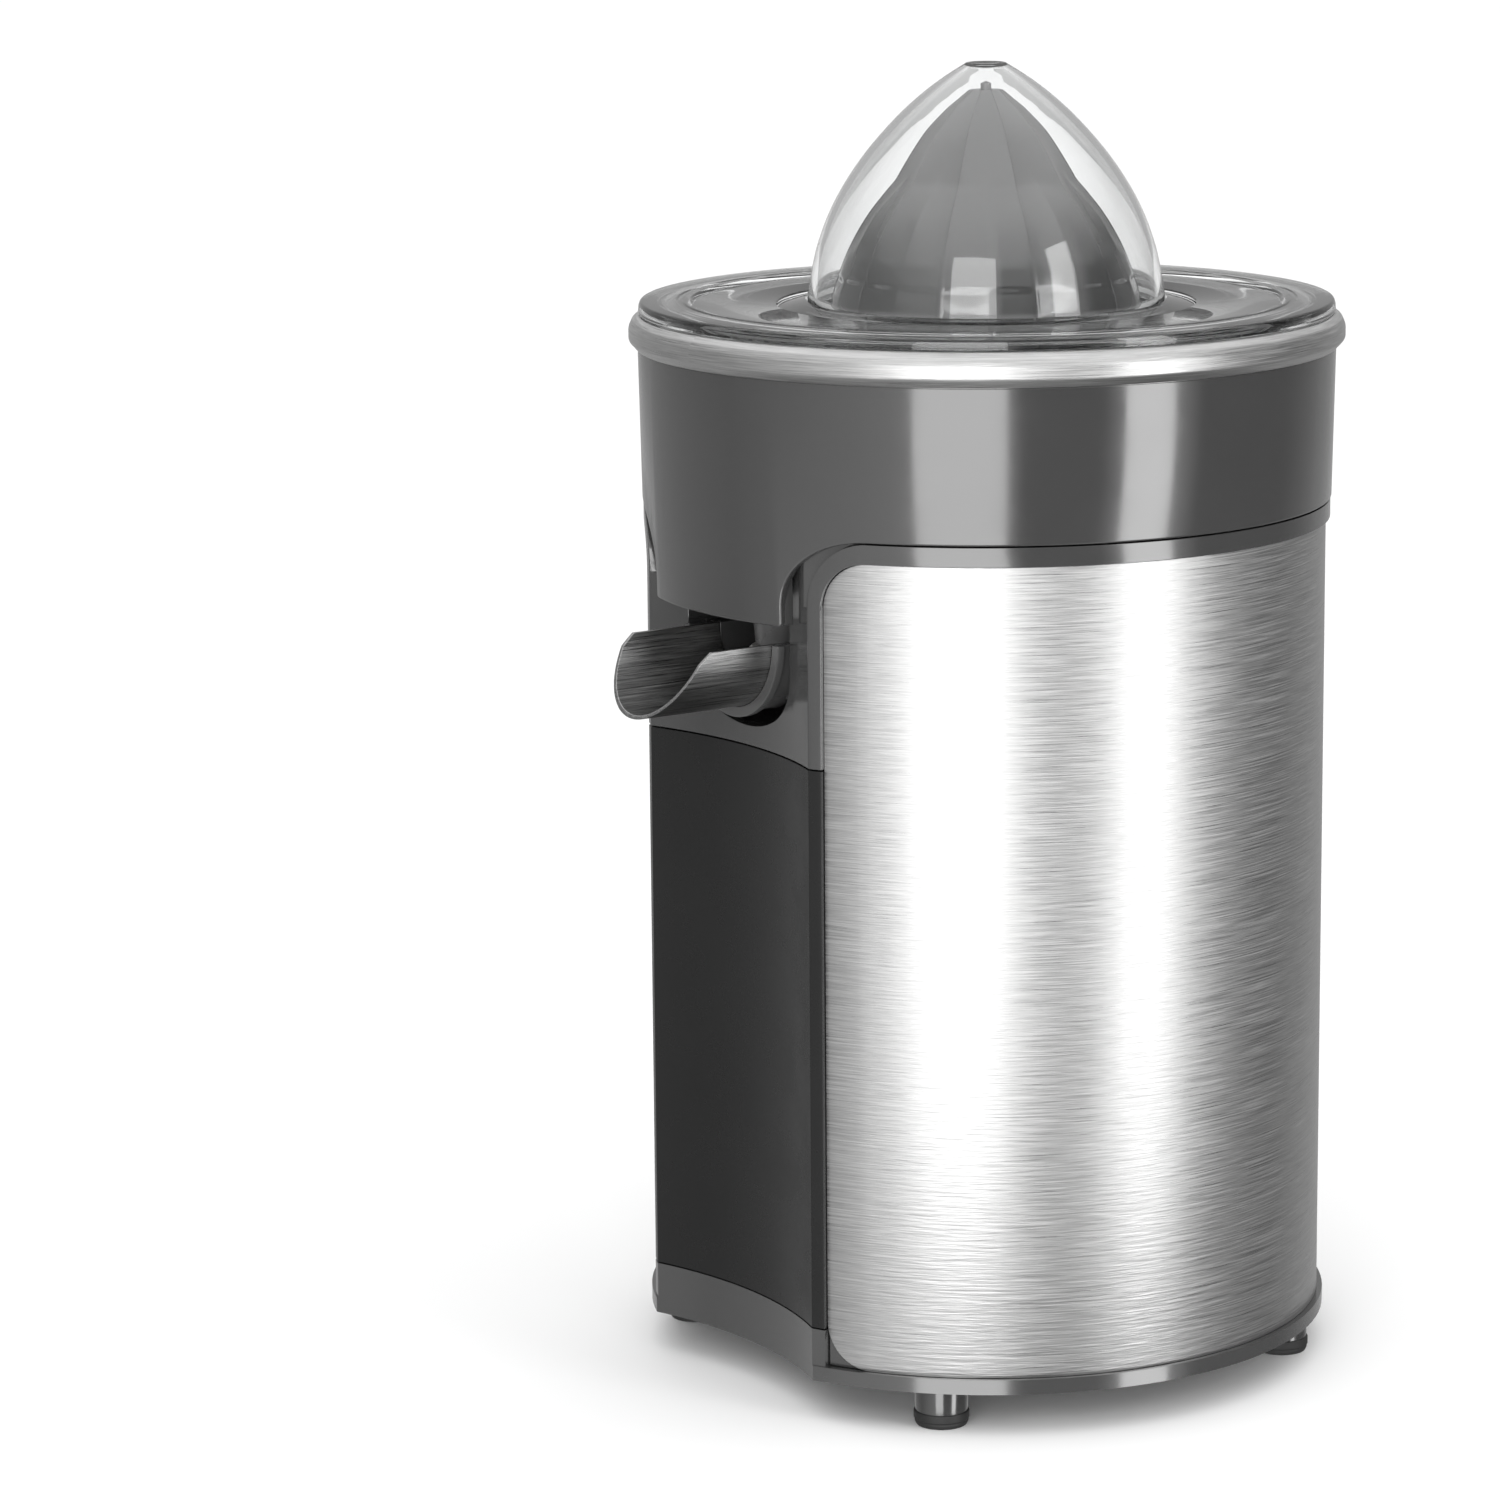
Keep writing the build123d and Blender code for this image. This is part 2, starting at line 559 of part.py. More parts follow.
with BuildPart() as motor_bushes:
    tube(CORE_HIGH_Z + 6, CORE_HIGH_Z + 13, 4.5, MOTOR_SHAFT_R + 0.05, at=motor_place)
    tube(CORE_LOW_Z - 13, CORE_LOW_Z - 6, 4.5, MOTOR_SHAFT_R + 0.05, at=motor_place)

with BuildPart() as motor_studs:
    tube(CORE_LOW_Z - 2, GEARBOX_Z, 1.8, at=stud_places)
    tube(CORE_LOW_Z - 5, CORE_LOW_Z - 2, 3.2, at=stud_places)

with BuildPart() as rotor:
    tube(CORE_LOW_Z, CORE_HIGH_Z, 13.6, MOTOR_SHAFT_R, at=motor_place)

with BuildPart() as motor_shaft:
    tube(CORE_LOW_Z - 32, FIRST_HIGH_Z + 2, MOTOR_SHAFT_R, at=motor_place)

with BuildPart() as motor_pinion:
    gear(FIRST_LOW_Z - 1, FIRST_HIGH_Z + 1, motor_place, MOTOR_PINION_TEETH, FIRST_MODULE,
         to_motor_deg + 180 + 180 / MOTOR_PINION_TEETH)
    tube(FIRST_LOW_Z - 2, FIRST_HIGH_Z + 2, MOTOR_SHAFT_R, at=motor_place, mode=Mode.SUBTRACT)

FAN_LOW_Z = CORE_LOW_Z - 31
with BuildPart() as cooling_fan:
    tube(FAN_LOW_Z, FAN_LOW_Z + 12, 6, at=motor_place)
    tube(FAN_LOW_Z + 10, FAN_LOW_Z + 12, 20, at=motor_place)
    with BuildSketch(motor_level(FAN_LOW_Z)):
        with PolarLocations(12.5, 9):
            Rectangle(15, 1.4, rotation=25)
    extrude(amount=10.5)
    tube(FAN_LOW_Z - 1, FAN_LOW_Z + 13, MOTOR_SHAFT_R, at=motor_place, mode=Mode.SUBTRACT)

# ---- juice bowl: wall, floor, chimney for the shaft, outlet nozzle, and the bib that hangs over the front ----
BOWL_LOW_Z = FRAME_TOP_Z + GAP
BOWL_RIM_Z = BAND_TOP_Z - 1.0
CHIMNEY_R = 10.0
CHIMNEY_TOP_Z = 227.5
SHOULDER_HIGH = 15.3     # the bib's shoulders are quarter ellipses
SHOULDER_WIDE = 21.8
SHOULDER_DEG = 27.0      # they are drawn on a plane that faces this way
BIB_SIDE_X = BOWL_R_LOW * sin(radians(BIB_HALF_DEG))
BIB_FRONT_S = BOWL_R_LOW * cos(radians(BIB_HALF_DEG)) - 1
BIB_BACK_S = 70.6
bib_edge = BOWL_R_LOW * sin(radians(BIB_HALF_DEG - SHOULDER_DEG))

with BuildPart() as bowl:
    # the skin that hangs below the wall, cut to the bib's outline and kept in front of the hollow panel
    with BuildSketch(level(BIB_Z)):
        Circle(BOWL_R_LOW)
        Circle(BOWL_R_LOW - WALL, mode=Mode.SUBTRACT)
        front_wedge(37, mode=Mode.INTERSECT)
    extrude(amount=BOWL_LOW_Z - BIB_Z)
    for side in (1, -1):
        with BuildSketch(facing(side * SHOULDER_DEG, BOWL_R_LOW + 5)):
            with Locations((side * (bib_edge + SHOULDER_WIDE), BOWL_LOW_Z - SHOULDER_HIGH)):
                Ellipse(SHOULDER_WIDE, SHOULDER_HIGH)
            with Locations((side * (bib_edge + 15), BOWL_LOW_Z - SHOULDER_HIGH)):
                Rectangle(30, 20, align=(Align.CENTER, Align.MAX))
            with Locations((side * (bib_edge + SHOULDER_WIDE + 8), BOWL_LOW_Z)):
                Rectangle(16, 30, align=(Align.CENTER, Align.MAX))
        extrude(amount=-16, mode=Mode.SUBTRACT)
    with BuildSketch(level(BIB_Z)):
        Circle(BOWL_R_LOW - WALL + 1)
        with Locations((0, -PANEL_S - PANEL_R)):
            Circle(PANEL_R - 0.5, mode=Mode.SUBTRACT)
        front_wedge(STEEL_EDGE_DEG - 2, mode=Mode.INTERSECT)
    extrude(amount=BOWL_LOW_Z - BIB_Z, mode=Mode.SUBTRACT)
    # the bib's side walls, back to the panel
    for side in (1, -1):
        block(BIB_Z, BOWL_FLOOR_Z, 1.8, BIB_FRONT_S - BIB_BACK_S,
              at=(side * (BIB_SIDE_X - 1.5), -(BIB_FRONT_S + BIB_BACK_S) / 2))
    with BuildSketch(UPRIGHT):
        with BuildLine():
            Polyline((CHIMNEY_R - 1.8, BOWL_FLOOR_Z), (BOWL_R_LOW - WALL - 1, BOWL_FLOOR_Z),
                     (BOWL_R_LOW - WALL, BOWL_LOW_Z), (BOWL_R_LOW, BOWL_LOW_Z), (BOWL_R_TOP, BAND_Z),
                     (BOWL_R_TOP - 0.1, BAND_Z), (BOWL_R_TOP - 0.1, BOWL_RIM_Z),
                     (BOWL_R_TOP - WALL, BOWL_RIM_Z),
                     (BOWL_R_LOW - WALL, BOWL_FLOOR_Z + 4), (BOWL_R_LOW - WALL - 3, BOWL_FLOOR_Z + WALL),
                     (CHIMNEY_R, BOWL_FLOOR_Z + WALL), (CHIMNEY_R, CHIMNEY_TOP_Z),
                     (CHIMNEY_R - 1.8, CHIMNEY_TOP_Z), close=True)
        make_face()
    revolve(axis=SPINDLE)
    open_ring(BOWL_FLOOR_Z - 8.5, BOWL_FLOOR_Z, SHELL_R - 0.8, SHELL_R - 2.8, half_deg=48)
    tube(NOZZLE_Z, BOWL_FLOOR_Z, NOZZLE_R, at=(0, -NOZZLE_S))
    tube(NOZZLE_Z, BOWL_FLOOR_Z + 3, NOZZLE_R - 1.5, at=(0, -NOZZLE_S), mode=Mode.SUBTRACT)

with BuildPart() as rim_band:
    with BuildSketch(UPRIGHT):
        with BuildLine():
            outer_low = (BAND_R, BAND_Z + 1.9)
            outer_high = (BAND_R, BAND_Z + 4.6)
            Polyline((BAND_R - 4, BAND_TOP_Z), (BAND_R - 4, BOWL_RIM_Z), (BOWL_R_TOP - 0.1, BOWL_RIM_Z),
                     (BOWL_R_TOP - 0.1, BAND_Z), (BOWL_R_TOP + 0.3, BAND_Z), outer_low, outer_high)
            ThreePointArc(outer_high, (BAND_R - 0.7, BAND_TOP_Z - 0.9), (BAND_R - 2.3, BAND_TOP_Z))
            Line((BAND_R - 2.3, BAND_TOP_Z), (BAND_R - 4, BAND_TOP_Z))
        make_face()
    revolve(axis=SPINDLE)

# ---- clear dust cover: stepped flange and a dome over the cone ----
CLEAR = 1.6
STEP_R = 67.0
STEP = 0.9
disc_z = COVER_TOP_Z - STEP

with BuildPart() as dust_cover:
    with BuildSketch(UPRIGHT):
        with BuildLine():
            Line((DOME_R, disc_z), (STEP_R - 0.8, disc_z))
            Line((STEP_R - 0.8, disc_z), (STEP_R, COVER_TOP_Z))
            Line((STEP_R, COVER_TOP_Z), (COVER_R - 1.3, COVER_TOP_Z))
            ThreePointArc((COVER_R - 1.3, COVER_TOP_Z), (COVER_R - 0.2, COVER_TOP_Z - 1.1), (COVER_R, COVER_Z))
            Polyline((COVER_R, COVER_Z), (BAND_R - 4.6, COVER_Z), (BAND_R - 4.8, COVER_Z - 4.5),
                     (BAND_R - 6.2, COVER_Z - 4.5), (BAND_R - 6.2, disc_z - CLEAR),
                     (DOME_R - CLEAR, disc_z - CLEAR))
            ThreePointArc((DOME_R - CLEAR, disc_z - CLEAR), (35.7, 259.6), (25.5, 277.2))
            ThreePointArc((25.5, 277.2), (15.2, 288.1), (4.0, DOME_TOP_Z - 2.2))
            Polyline((4.0, DOME_TOP_Z - 2.2), (0, DOME_TOP_Z - 2.2), (0, DOME_TOP_Z), (4.4, DOME_TOP_Z))
            ThreePointArc((4.4, DOME_TOP_Z), (16.1, 289.5), (26.9, 278.2))
            ThreePointArc((26.9, 278.2), (37.2, 260.1), (DOME_R, disc_z))
        make_face()
    revolve(axis=SPINDLE)

# ---- cones: a small one drives the large one, whose ribs scrape the fruit ----
CONE_BASE_Z = 236.0
CONE_TIP_Z = 293.2
RIB = 0.9


def cone_outline(inset):
    """Half section of the large cone's shell, moved in from the ribs' crests, with a hole for the small tip."""
    ThreePointArc((3.75 - inset, 291.3), (13.2 - inset, 282.7), (20.6 - inset, 271.2))
    ThreePointArc((20.6 - inset, 271.2), (29.0 - inset, 260.1), (CONE_R - inset, 244.1))
    Polyline((CONE_R - inset, 244.1), (36.2 - inset, CONE_BASE_Z), (32.5, CONE_BASE_Z), (32.0, 244.1))
    ThreePointArc((32.0, 244.1), (25.8, 259.6), (17.6, 270.5))
    ThreePointArc((17.6, 270.5), (10.6, 281.0), (1.5, 289.6))
    Polyline((1.5, 289.6), (1.5, 291.3), (3.75 - inset, 291.3))


with BuildPart() as large_cone:
    with BuildSketch(UPRIGHT):
        with BuildLine():
            cone_outline(RIB)
        make_face()
    revolve(axis=SPINDLE)
    rib_count = 12
    for rib in range(rib_count):
        turn = radians(360 / rib_count * rib)
        with BuildSketch(Plane(origin=(0, SPINDLE_Y, 0), x_dir=(cos(turn), sin(turn), 0),
                               z_dir=(sin(turn), -cos(turn), 0))):
            with BuildLine():
                cone_outline(0)
            make_face()
        extrude(amount=0.7, both=True)

with BuildPart() as small_cone:
    with BuildSketch(UPRIGHT):
        with BuildLine():
            Polyline((0, CONE_TIP_Z), (1.2, CONE_TIP_Z - 0.5), (1.3, 289.3))
            ThreePointArc((1.3, 289.3), (10.3, 280.6), (17.3, 270.2))
            ThreePointArc((17.3, 270.2), (23.6, 256), (25.5, CONE_BASE_Z + 1))
            Line((25.5, CONE_BASE_Z + 1), (23.7, CONE_BASE_Z + 1))
            ThreePointArc((23.7, CONE_BASE_Z + 1), (21.8, 256), (15.3, 269.5))
            Polyline((15.3, 269.5), (8, 272), (8, CONE_BASE_Z - 2.2), (0, CONE_BASE_Z - 2.2), (0, CONE_TIP_Z))
        make_face()
    revolve(axis=SPINDLE)
    with BuildSketch(level(CONE_BASE_Z - 3)):
        RegularPolygon(3.45 + GAP, 6, major_radius=False)
    extrude(amount=SHAFT_TOP_Z + 1 - CONE_BASE_Z + 3, mode=Mode.SUBTRACT)

STRAINER_Z = 229.5
STRAINER_PLATE = 1.8
STRAINER_R = 68.0

with BuildPart() as strainer:
    tube(STRAINER_Z, STRAINER_Z + STRAINER_PLATE, STRAINER_R, CHIMNEY_R + 0.8)
    tube(STRAINER_Z, STRAINER_Z + STRAINER_PLATE + 1, STRAINER_R, STRAINER_R - 1.6)
    tube(STRAINER_Z - 3, STRAINER_Z, CHIMNEY_R + 2.6, CHIMNEY_R + 0.8)
    with BuildSketch(level(STRAINER_Z)):
        with PolarLocations(54, 40):
            SlotOverall(20, 2.0)
        with PolarLocations(31, 24):
            SlotOverall(18, 2.0)
    extrude(amount=2, mode=Mode.SUBTRACT)

# ---- spout: steel half pipe in a hinged holder ----
AHEAD = Plane(origin=(0, SPINDLE_Y, 0), x_dir=(1, 0, 0), z_dir=(0, -1, 0))
HOLDER_HALF = 19.3
HOLDER_LOW_Z = 160.5
HOLDER_SEAT_Z = 168.0
HOLDER_BACK_S = 46.0
HOLDER_FRONT_S = 63.5
COLLAR_FRONT_S = 71.0


def half_pipe(back, front, outer, inner=0):
    """Lower half of a pipe along the front line, between two distances ahead of the spindle."""
    with BuildSketch(AHEAD.offset(back)) as section:
        with Locations((0, TROUGH_Z)):
            Circle(outer)
            if inner:
                Circle(inner, mode=Mode.SUBTRACT)
            Rectangle(3 * outer, 2 * outer, align=(Align.CENTER, Align.MIN), mode=Mode.SUBTRACT)
    extrude(section.sketch, amount=front - back)


with BuildPart() as spout_trough:
    half_pipe(HOLDER_FRONT_S + 0.2, TROUGH_TIP_S, TROUGH_R, TROUGH_R - TROUGH_THICK)
    with BuildSketch(SIDEWAYS):
        with BuildLine():
            Polyline((TROUGH_TOP_S - 5, TROUGH_Z + 1), (TROUGH_TOP_S - 3, TROUGH_Z),
                     (TROUGH_TOP_S, TROUGH_Z - 2.6),
                     (TROUGH_TIP_S, TROUGH_Z - TROUGH_R), (TROUGH_TIP_S + 5, TROUGH_Z - TROUGH_R),
                     (TROUGH_TIP_S + 5, TROUGH_Z + 1), close=True)
        make_face()
    extrude(amount=30, both=True, mode=Mode.SUBTRACT)

with BuildPart() as spout_holder:
    block(HOLDER_LOW_Z, TROUGH_Z, 2 * HOLDER_HALF, HOLDER_FRONT_S - HOLDER_BACK_S,
          at=(0, -(HOLDER_FRONT_S + HOLDER_BACK_S) / 2))
    half_pipe(HOLDER_FRONT_S - 2, HOLDER_FRONT_S, TROUGH_R + 1.4)
    block(HOLDER_SEAT_Z, TROUGH_Z, 2 * (TROUGH_R - 0.9), HOLDER_FRONT_S - HOLDER_BACK_S,
          at=(0, -(HOLDER_FRONT_S + HOLDER_BACK_S) / 2 - 2.5), mode=Mode.SUBTRACT)
    half_pipe(HOLDER_FRONT_S, COLLAR_FRONT_S - 2, TROUGH_R + 1.4, TROUGH_R + 0.05)
    half_pipe(COLLAR_FRONT_S - 2, COLLAR_FRONT_S, COLLAR_R, TROUGH_R + 0.05)
    with BuildSketch(SIDEWAYS):
        with Locations((PIVOT_S, PIVOT_Z)):
            Circle(PIVOT_R)
    extrude(amount=30, both=True, mode=Mode.SUBTRACT)

with BuildPart() as spout_pin:
    with BuildSketch(SIDEWAYS):
        with Locations((PIVOT_S, PIVOT_Z)):
            Circle(PIVOT_R)
    extrude(amount=OPENING_HALF + WALL - 0.2, both=True)

with BuildPart() as spout_seal:
    tube(HOLDER_SEAT_Z, NOZZLE_Z - 0.4, NOZZLE_R + 1, at=(0, -NOZZLE_S))
    chamfer(spout_seal.edges().group_by(Axis.Z)[-1], 0.6)

pieces = {
    "feet": feet, "rubber_tips": rubber_tips, "base_housing": base_housing, "cord_gland": cord_gland,
    "base_screws": base_screws, "terminal_block": terminal_block, "steel_wrap": steel_wrap,
    "main_housing": main_housing, "front_cover": front_cover, "deck": deck, "upper_bush": upper_bush,
    "shaft_seal": shaft_seal, "gearbox_housing": gearbox_housing, "gearbox_cover": gearbox_cover,
    "gearbox_screws": gearbox_screws, "lower_bush": lower_bush, "idler_pin": idler_pin,
    "output_gear": output_gear, "idler_gear": idler_gear, "drive_shaft": drive_shaft,
    "press_carriage": press_carriage, "return_spring": return_spring, "spring_bracket": spring_bracket,
    "microswitch": microswitch, "switch_plunger": switch_plunger, "motor_core": motor_core,
    "motor_coil": motor_coil, "motor_upper_bracket": motor_upper_bracket,
    "motor_lower_bracket": motor_lower_bracket, "motor_bushes": motor_bushes, "motor_studs": motor_studs,
    "rotor": rotor, "motor_shaft": motor_shaft, "motor_pinion": motor_pinion, "cooling_fan": cooling_fan,
    "bowl": bowl, "rim_band": rim_band, "dust_cover": dust_cover, "large_cone": large_cone,
    "small_cone": small_cone, "strainer": strainer, "spout_trough": spout_trough,
    "spout_holder": spout_holder, "spout_pin": spout_pin, "spout_seal": spout_seal,
}
for name, piece in pieces.items():
    piece.part.label = name
    export_step(piece.part, f"parts/{name}.step")
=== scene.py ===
"""Citrus press juicer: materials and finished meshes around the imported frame.

Metres, +Z up, front towards -Y."""

from math import cos, pi, radians, sin, tan

import bmesh
import bpy
from mathutils import Matrix, Vector
from mathutils.bvhtree import BVHTree


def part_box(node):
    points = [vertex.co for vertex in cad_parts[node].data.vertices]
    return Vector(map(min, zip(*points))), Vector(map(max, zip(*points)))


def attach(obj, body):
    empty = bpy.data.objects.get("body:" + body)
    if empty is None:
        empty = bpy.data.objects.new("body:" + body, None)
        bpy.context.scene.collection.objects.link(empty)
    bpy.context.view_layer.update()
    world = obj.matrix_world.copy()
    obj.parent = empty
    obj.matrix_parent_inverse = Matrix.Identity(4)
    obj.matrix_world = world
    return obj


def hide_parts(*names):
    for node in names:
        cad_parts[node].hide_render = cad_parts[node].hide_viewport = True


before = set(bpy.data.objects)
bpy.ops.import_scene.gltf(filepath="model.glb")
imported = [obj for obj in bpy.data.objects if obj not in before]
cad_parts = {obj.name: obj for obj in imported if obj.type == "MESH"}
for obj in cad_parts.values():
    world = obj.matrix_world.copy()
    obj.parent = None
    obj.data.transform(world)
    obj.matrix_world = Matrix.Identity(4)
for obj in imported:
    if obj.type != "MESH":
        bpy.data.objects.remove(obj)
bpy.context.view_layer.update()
scene = bpy.context.scene
MM = 0.001

# ---- places read from the frame ----
band_low, band_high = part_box("rim_band")
SPINDLE = Vector(((band_low.x + band_high.x) / 2, (band_low.y + band_high.y) / 2, 0))
BAND_R = (band_high.x - band_low.x) / 2
SHEET_R = 0.0775         # about where the brushed strokes lie, for their length round the spindle

# ---- camera ----
CAMERA_AT = Vector((0.97465, -0.72103, 0.38268))
CAMERA_AZIMUTH = radians(55.7708)
CAMERA_DOWN = radians(11.2807)
CAMERA_ROLL = radians(-0.5137)
CAMERA_LENS = 128.652
SENSOR_WIDTH = 36
CLIP_END = 50


def make_camera():
    data = bpy.data.cameras.new("camera")
    data.lens = CAMERA_LENS
    data.sensor_width = SENSOR_WIDTH
    data.clip_end = CLIP_END
    camera = bpy.data.objects.new("camera", data)
    scene.collection.objects.link(camera)
    level = Vector((-sin(CAMERA_AZIMUTH), cos(CAMERA_AZIMUTH), 0))
    forward = level * cos(CAMERA_DOWN) + Vector((0, 0, -sin(CAMERA_DOWN)))
    right = Vector((cos(CAMERA_AZIMUTH), sin(CAMERA_AZIMUTH), 0))
    up = right.cross(forward)
    across = right * cos(CAMERA_ROLL) + up * sin(CAMERA_ROLL)
    above = up * cos(CAMERA_ROLL) - right * sin(CAMERA_ROLL)
    turn = Matrix((across, above, -forward)).transposed().to_4x4()
    camera.matrix_world = Matrix.Translation(CAMERA_AT) @ turn
    scene.camera = camera


# ---- studio ----
# brightness of the room by bearing from the camera, in degrees: the darker stretches stand between the lights
ROOM = ((-180, 0.5), (-130, 0.42), (-95, 0.32), (-60, 0.62), (-34, 0.85), (-28, 0.95), (5, 0.95), (9, 0.18),
        (36, 0.18), (42, 0.85), (64, 0.85), (72, 0.14), (112, 0.15), (140, 0.42), (180, 0.5))
OVERHEAD = 1.5
# sine of the elevation where the ceiling's light begins, and where it is full
OVERHEAD_FROM, OVERHEAD_FULL = 0.35, 0.8
LIGHT_LOW, LIGHT_HIGH, LIGHT_DISTANCE = -0.6, 0.98, 1.3
FLOOR_SIZE = 40
BACKDROP = 1.02          # what the camera sees behind the floor
FLOOR_LEVEL = 0.93


def bearing(azimuth):
    """Horizontal direction from the object, in degrees from the camera towards the right of the view."""
    angle = CAMERA_AZIMUTH + radians(azimuth)
    return Vector((sin(angle), -cos(angle), 0))


def softbox(name, azimuth, half_angle, radiance):
    """Upright rectangle of light that spans an angle as seen from the object."""
    low, high, distance = LIGHT_LOW, LIGHT_HIGH, LIGHT_DISTANCE
    width = 2 * distance * tan(radians(half_angle))
    light = bpy.data.lights.new(name, "AREA")
    light.shape = "RECTANGLE"
    light.size = width
    light.size_y = high - low
    light.energy = radiance * pi * width * (high - low)
    lamp = bpy.data.objects.new(name, light)
    scene.collection.objects.link(lamp)
    lamp.location = bearing(azimuth) * distance + Vector((0, 0, (low + high) / 2))
    across, inward = bearing(azimuth + 90), -bearing(azimuth)
    lamp.rotation_euler = Matrix((across, across.cross(inward), -inward)).transposed().to_euler()


def make_studio():
    """A white room with darker panels beside the lights, so that round metal shows bands."""
    world = bpy.data.worlds.new("studio")
    scene.world = world
    world.use_nodes = True
    nodes, links = world.node_tree.nodes, world.node_tree.links
    nodes.clear()
    place = nodes.new("ShaderNodeTexCoord")
    split = nodes.new("ShaderNodeSeparateXYZ")
    turn = nodes.new("ShaderNodeVectorRotate")
    turn.rotation_type = "Z_AXIS"
    turn.inputs["Angle"].default_value = -CAMERA_AZIMUTH
    links.new(place.outputs["Generated"], turn.inputs["Vector"])
    links.new(turn.outputs[0], split.inputs[0])
    angle = nodes.new("ShaderNodeMath")
    angle.operation = "ARCTAN2"
    back = nodes.new("ShaderNodeMath")
    back.operation = "MULTIPLY"
    back.inputs[1].default_value = -1
    links.new(split.outputs["Y"], back.inputs[0])
    links.new(split.outputs["X"], angle.inputs[0])
    links.new(back.outputs[0], angle.inputs[1])
    share = nodes.new("ShaderNodeMapRange")
    share.inputs["From Min"].default_value = -pi
    share.inputs["From Max"].default_value = pi
    links.new(angle.outputs[0], share.inputs["Value"])
    ramp = nodes.new("ShaderNodeValToRGB")
    while len(ramp.color_ramp.elements) < len(ROOM):
        ramp.color_ramp.elements.new(1.0)
    for element, (azimuth, level) in zip(ramp.color_ramp.elements, ROOM):
        element.position = (azimuth + 180) / 360
        element.color = (level, level, level, 1)
    links.new(share.outputs[0], ramp.inputs[0])
    height = nodes.new("ShaderNodeMapRange")
    height.inputs["From Min"].default_value = OVERHEAD_FROM
    height.inputs["From Max"].default_value = OVERHEAD_FULL
    links.new(split.outputs["Z"], height.inputs["Value"])
    overhead = nodes.new("ShaderNodeMix")
    overhead.data_type = "RGBA"
    overhead.inputs["B"].default_value = (*grey(OVERHEAD), 1)
    links.new(height.outputs[0], overhead.inputs["Factor"])
    links.new(ramp.outputs[0], overhead.inputs["A"])
    seen = nodes.new("ShaderNodeLightPath")
    white = nodes.new("ShaderNodeMix")
    white.data_type = "RGBA"
    white.inputs["B"].default_value = (*grey(BACKDROP), 1)
    links.new(seen.outputs["Is Camera Ray"], white.inputs["Factor"])
    links.new(overhead.outputs["Result"], white.inputs["A"])
    background = nodes.new("ShaderNodeBackground")
    links.new(white.outputs["Result"], background.inputs["Color"])
    output = nodes.new("ShaderNodeOutputWorld")
    links.new(background.outputs[0], output.inputs["Surface"])


# ---- materials ----
def new_material(name):
    material = bpy.data.materials.new(name)
    material.use_nodes = True
    tree = material.node_tree
    return material, tree, tree.nodes["Principled BSDF"]


def noise(tree, vector, scale, detail=3, roughness=0.5):
    node = tree.nodes.new("ShaderNodeTexNoise")
    node.inputs["Scale"].default_value = scale
    node.inputs["Detail"].default_value = detail
    node.inputs["Roughness"].default_value = roughness
    tree.links.new(vector, node.inputs["Vector"])
    return node.outputs["Fac"]


def between(tree, value, low, high, start=0.3, end=0.7):
    """Spread a noise between two levels."""
    node = tree.nodes.new("ShaderNodeMapRange")
    node.inputs["From Min"].default_value = start
    node.inputs["From Max"].default_value = end
    node.inputs["To Min"].default_value = low
    node.inputs["To Max"].default_value = high
    tree.links.new(value, node.inputs["Value"])
    return node.outputs[0]


def two_colours(tree, value, low, high):
    node = tree.nodes.new("ShaderNodeMix")
    node.data_type = "RGBA"
    node.inputs["A"].default_value = (*low, 1)
    node.inputs["B"].default_value = (*high, 1)
    tree.links.new(value, node.inputs["Factor"])
    return node.outputs["Result"]


def object_place(tree):
    return tree.nodes.new("ShaderNodeTexCoord").outputs["Object"]


def bump(tree, shader, height, strength, distance, before=None):
    node = tree.nodes.new("ShaderNodeBump")
    node.inputs["Strength"].default_value = strength
    node.inputs["Distance"].default_value = distance
    tree.links.new(height, node.inputs["Height"])
    if before is not None:
        tree.links.new(before, node.inputs["Normal"])
    tree.links.new(node.outputs[0], shader.inputs["Normal"])
    return node.outputs[0]


def grey(level, tint=(1, 1, 1)):
    return tuple(level * t for t in tint)


def worn_edges(tree, low=0.52, high=0.62):
    """Where the surface is convex, from 0 to 1."""
    geometry = tree.nodes.new("ShaderNodeNewGeometry")
    return between(tree, geometry.outputs["Pointiness"], 0, 1, low, high)


def plastic(name, level, rough, grain=900, depth=0.00002, spread=0.25, ior=1.5, tint=(1, 1, 1), wear=0.35):
    """Moulded plastic: a mottled colour, handling smudges in the gloss, and a fine moulded skin."""
    material, tree, shader = new_material(name)
    place = object_place(tree)
    cloud = noise(tree, place, 35, detail=4)
    base = two_colours(tree, between(tree, cloud, 0, 1), grey(level * (1 - spread / 2), tint),
                       grey(level * (1 + spread / 2), tint))
    edge = tree.nodes.new("ShaderNodeMix")
    edge.data_type = "RGBA"
    edge.inputs["B"].default_value = (*grey(min(level * 1.6 + 0.02, 0.9), tint), 1)
    amount = tree.nodes.new("ShaderNodeMath")
    amount.operation = "MULTIPLY"
    amount.inputs[1].default_value = wear
    tree.links.new(worn_edges(tree), amount.inputs[0])
    tree.links.new(amount.outputs[0], edge.inputs["Factor"])
    tree.links.new(base, edge.inputs["A"])
    tree.links.new(edge.outputs["Result"], shader.inputs["Base Color"])
    smudge = noise(tree, place, 60, detail=5, roughness=0.65)
    tree.links.new(between(tree, smudge, rough * 0.8, rough * 1.25), shader.inputs["Roughness"])
    skin = noise(tree, place, grain, detail=2)
    bump(tree, shader, skin, 0.3, depth)
    shader.inputs["IOR"].default_value = ior
    return material


